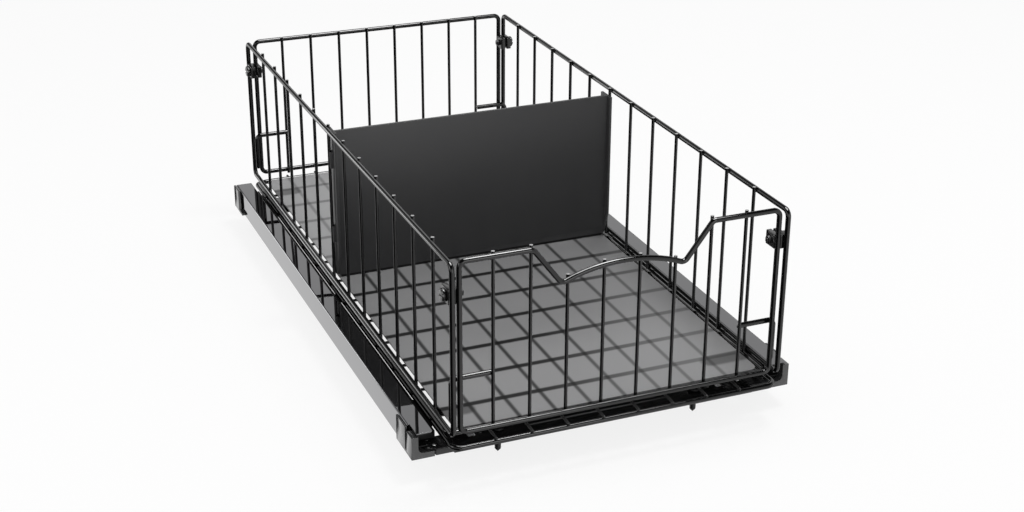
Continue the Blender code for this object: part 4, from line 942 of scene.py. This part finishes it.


# Liner mat: a thin sheet of frosted plastic, laid loose on the long wires. The wires and
# the slide tabs beneath are painted on it as soft dark lines of shade, the nearer ones more
# sharply, and its tone is painted lighter and darker by place, as the light falls on it.

MAT_COLOUR = (0.27, 0.27, 0.273, 1)
# painted shade of the wires and tabs beneath the sheet
WIRE_SHADE_COLOUR = (0.004, 0.004, 0.004, 1)
LONG_LINES_END = (0.1, 0.108)  # no long wire lies farther out than this
LONG_LINE_BLUR = (0.0004, 0.0028)
LONG_LINE_SHARES = (0.86, 0.5)
LONG_LINE_SHIFT = 0.0032       # the long wires show this far to the eye's side
CROSS_LINE_BLUR = (0.0016, 0.0038)
CROSS_LINE_SHARES = (0.97, 0.5)
SHARPER = (0.03, 0.17)         # lines soften over this distance towards the front right
BEHIND = (0.0, 0.06)           # and over this one behind the divider
BEHIND_SHARE = 0.5
# Painted light and shade: the sheet's tone by place, lighter in front and behind the divider and
# darker towards the right side panel, as the light falls on it.
FRONT_PAINTED_LIGHT = (-0.2, -0.1)     # the sheet is a little lighter in front of this
MIDDLE_PAINTED_LIGHT = 0.82
REAR_PAINTED_LIGHT = 0.5               # and lighter still behind the divider
RIGHT_EDGE = (0.088, 0.1207)   # it darkens towards the right side panel
RIGHT_SHADE_SHARE = 0.22
TAB_MIDDLE_X = -0.0057         # the tabs lie lower, and show shifted to the eye's side
TAB_MIDDLE_Y = -0.006
TAB_OFF_Y = 0.225
TAB_ROUND_X = 0.0988           # middle of the tab's round tip
TAB_BLUR = (0.005, 0.0095)
TAB_SHARE = 0.6

frosted = finish_material(
    "frosted_mat", MAT_COLOUR, roughness=0.4, grain_scale=1600.0, bump_height=0.000004,
    colour_shift=0.02, Specular_IOR_Level=0.15)
mat_tree = frosted.node_tree


def mat_math(operation, *values):
    """The result of a Math node in the mat's material."""
    return maths(mat_tree, operation, *values)


def fade(distance, ends, share=1.0):
    """The share up to the first distance, fading out at the second."""
    return ramp(mat_tree, distance, ends, (share, 0.0))


def to_nearest_wire(place, pitch):
    """How far a place is from the nearest of a row of wires."""
    steps = mat_math("PINGPONG", mat_math("MULTIPLY_ADD", place, 1 / pitch, 0.5), 0.5)
    return mat_math("MULTIPLY", steps, pitch)


mat_place = add(mat_tree, "ShaderNodeSeparateXYZ",
                Vector=add(mat_tree, "ShaderNodeTexCoord").outputs["Object"])
mat_x, mat_y = mat_place.outputs["X"], mat_place.outputs["Y"]
seen_x = mat_math("ADD", mat_x, LONG_LINE_SHIFT)
view_right = math.radians(CAMERA_HEADING)
rightwards = mat_math("MULTIPLY_ADD", mat_x, math.cos(view_right),
                      mat_math("MULTIPLY", mat_y, -math.sin(view_right)))
before_divider = fade(mat_y, BEHIND, 1 - BEHIND_SHARE)
long_share, cross_share = [
    mat_math("MULTIPLY", mat_math("ADD", fade(rightwards, SHARPER, near - far), far),
             mat_math("ADD", before_divider, BEHIND_SHARE))
    for near, far in (LONG_LINE_SHARES, CROSS_LINE_SHARES)]
# Painted shade: soft dark lines for the long and cross wires under the mat, and soft patches for
# the slide tabs.
long_wire_shade = mat_math(
    "MULTIPLY", mat_math("MULTIPLY", fade(to_nearest_wire(seen_x, LONG_PITCH), LONG_LINE_BLUR),
                         fade(mat_math("ABSOLUTE", seen_x), LONG_LINES_END)), long_share)
cross_wire_shade = mat_math(
    "MULTIPLY", fade(to_nearest_wire(mat_y, CROSS_PITCH), CROSS_LINE_BLUR), cross_share)
off_tab_x = mat_math("ABSOLUTE", mat_math("SUBTRACT", mat_x, TAB_MIDDLE_X))
off_tab_y = mat_math("ABSOLUTE", mat_math("SUBTRACT", mat_y, TAB_MIDDLE_Y))
past_tip = mat_math("MAXIMUM", mat_math("SUBTRACT", TAB_ROUND_X, off_tab_x), 0.0)
off_tab = mat_math("SUBTRACT", off_tab_y, TAB_OFF_Y)
to_tab = mat_math("POWER", mat_math(
    "MULTIPLY_ADD", past_tip, past_tip, mat_math("MULTIPLY", off_tab, off_tab)), 0.5)
tabs = fade(to_tab, TAB_BLUR, TAB_SHARE)
clear = 1.0
for mask in (long_wire_shade, cross_wire_shade, tabs):
    clear = mat_math("MULTIPLY", mat_math("SUBTRACT", 1.0, mask), clear)
# Painted light and shade on the mat's tone, by place.
painted_mat_light = mat_math("ADD", fade(mat_y, FRONT_PAINTED_LIGHT, 1 - MIDDLE_PAINTED_LIGHT), mat_math(
    "ADD", MIDDLE_PAINTED_LIGHT + REAR_PAINTED_LIGHT, mat_math("MULTIPLY", fade(mat_y, BEHIND), -REAR_PAINTED_LIGHT)))
painted_mat_light = mat_math("MULTIPLY", painted_mat_light, mat_math(
    "ADD", fade(mat_x, RIGHT_EDGE, RIGHT_SHADE_SHARE), 1 - RIGHT_SHADE_SHARE))
mat_base = base_colour(frosted)
mat_body = add(mat_tree, "ShaderNodeVectorMath", {"operation": "SCALE"}, Scale=painted_mat_light,
               _0=mat_base.links[0].from_socket)
mat_tree.links.new(mat_body.outputs[0], mat_base)
tint_where(frosted, mat_math("SUBTRACT", 1.0, clear), WIRE_SHADE_COLOUR)

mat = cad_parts["liner_mat"]
mat.data.materials.clear()
mat.data.materials.append(frosted)


# Divider: a charcoal plastic sheet across the basket, with a moulded flange at each end
# that snaps on to a side upright, and a near-black strip under it, put in as painted shade
# for the dark line at its foot, that all but closes it to the mat.

DIVIDER_EDGE = 0.0004
DIVIDER_COLOUR = (0.036, 0.036, 0.037, 1)
FOOT_SHADE_COLOUR = (0.004, 0.004, 0.004, 1)
FOOT_BELOW = (0.0018, 0.0002)  # the strip's two levels under the sheet
FOOT_HALF = 0.0009
FOOT_SETBACK = 0.0019          # sheet in front of the flanges' middle
FOOT_INSET = 0.006

charcoal = finish_material(
    "charcoal_divider_plastic", DIVIDER_COLOUR, roughness=0.36, grain_scale=1900.0,
    bump_height=0.000006, colour_shift=0.04, Specular_IOR_Level=0.3)
settled(softened("divider", "divider_sheet", charcoal, DIVIDER_EDGE), "divider",
        "charcoal_plastic", "divider")

# Painted shade: a near-black strip under the sheet stands in for the shade at its foot.
foot_shade_coat = finish_material(
    "dark_foot_edge", FOOT_SHADE_COLOUR, roughness=0.5, grain_scale=1500.0, bump_height=0.000004,
    Specular_IOR_Level=0.2)
low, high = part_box("divider")
sheet_y = low.y + (high.y - low.y) / 2 - FOOT_SETBACK
foot_outline = rectangle(
    (low.x + FOOT_INSET, sheet_y - FOOT_HALF), (high.x - FOOT_INSET, sheet_y + FOOT_HALF))
foot_levels = (low.z - drop for drop in FOOT_BELOW)
foot = place_piece("divider_foot_edge", prism(foot_outline, "Z", *foot_levels), foot_shade_coat)
settled(foot, "divider", "charcoal_plastic")


low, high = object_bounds()
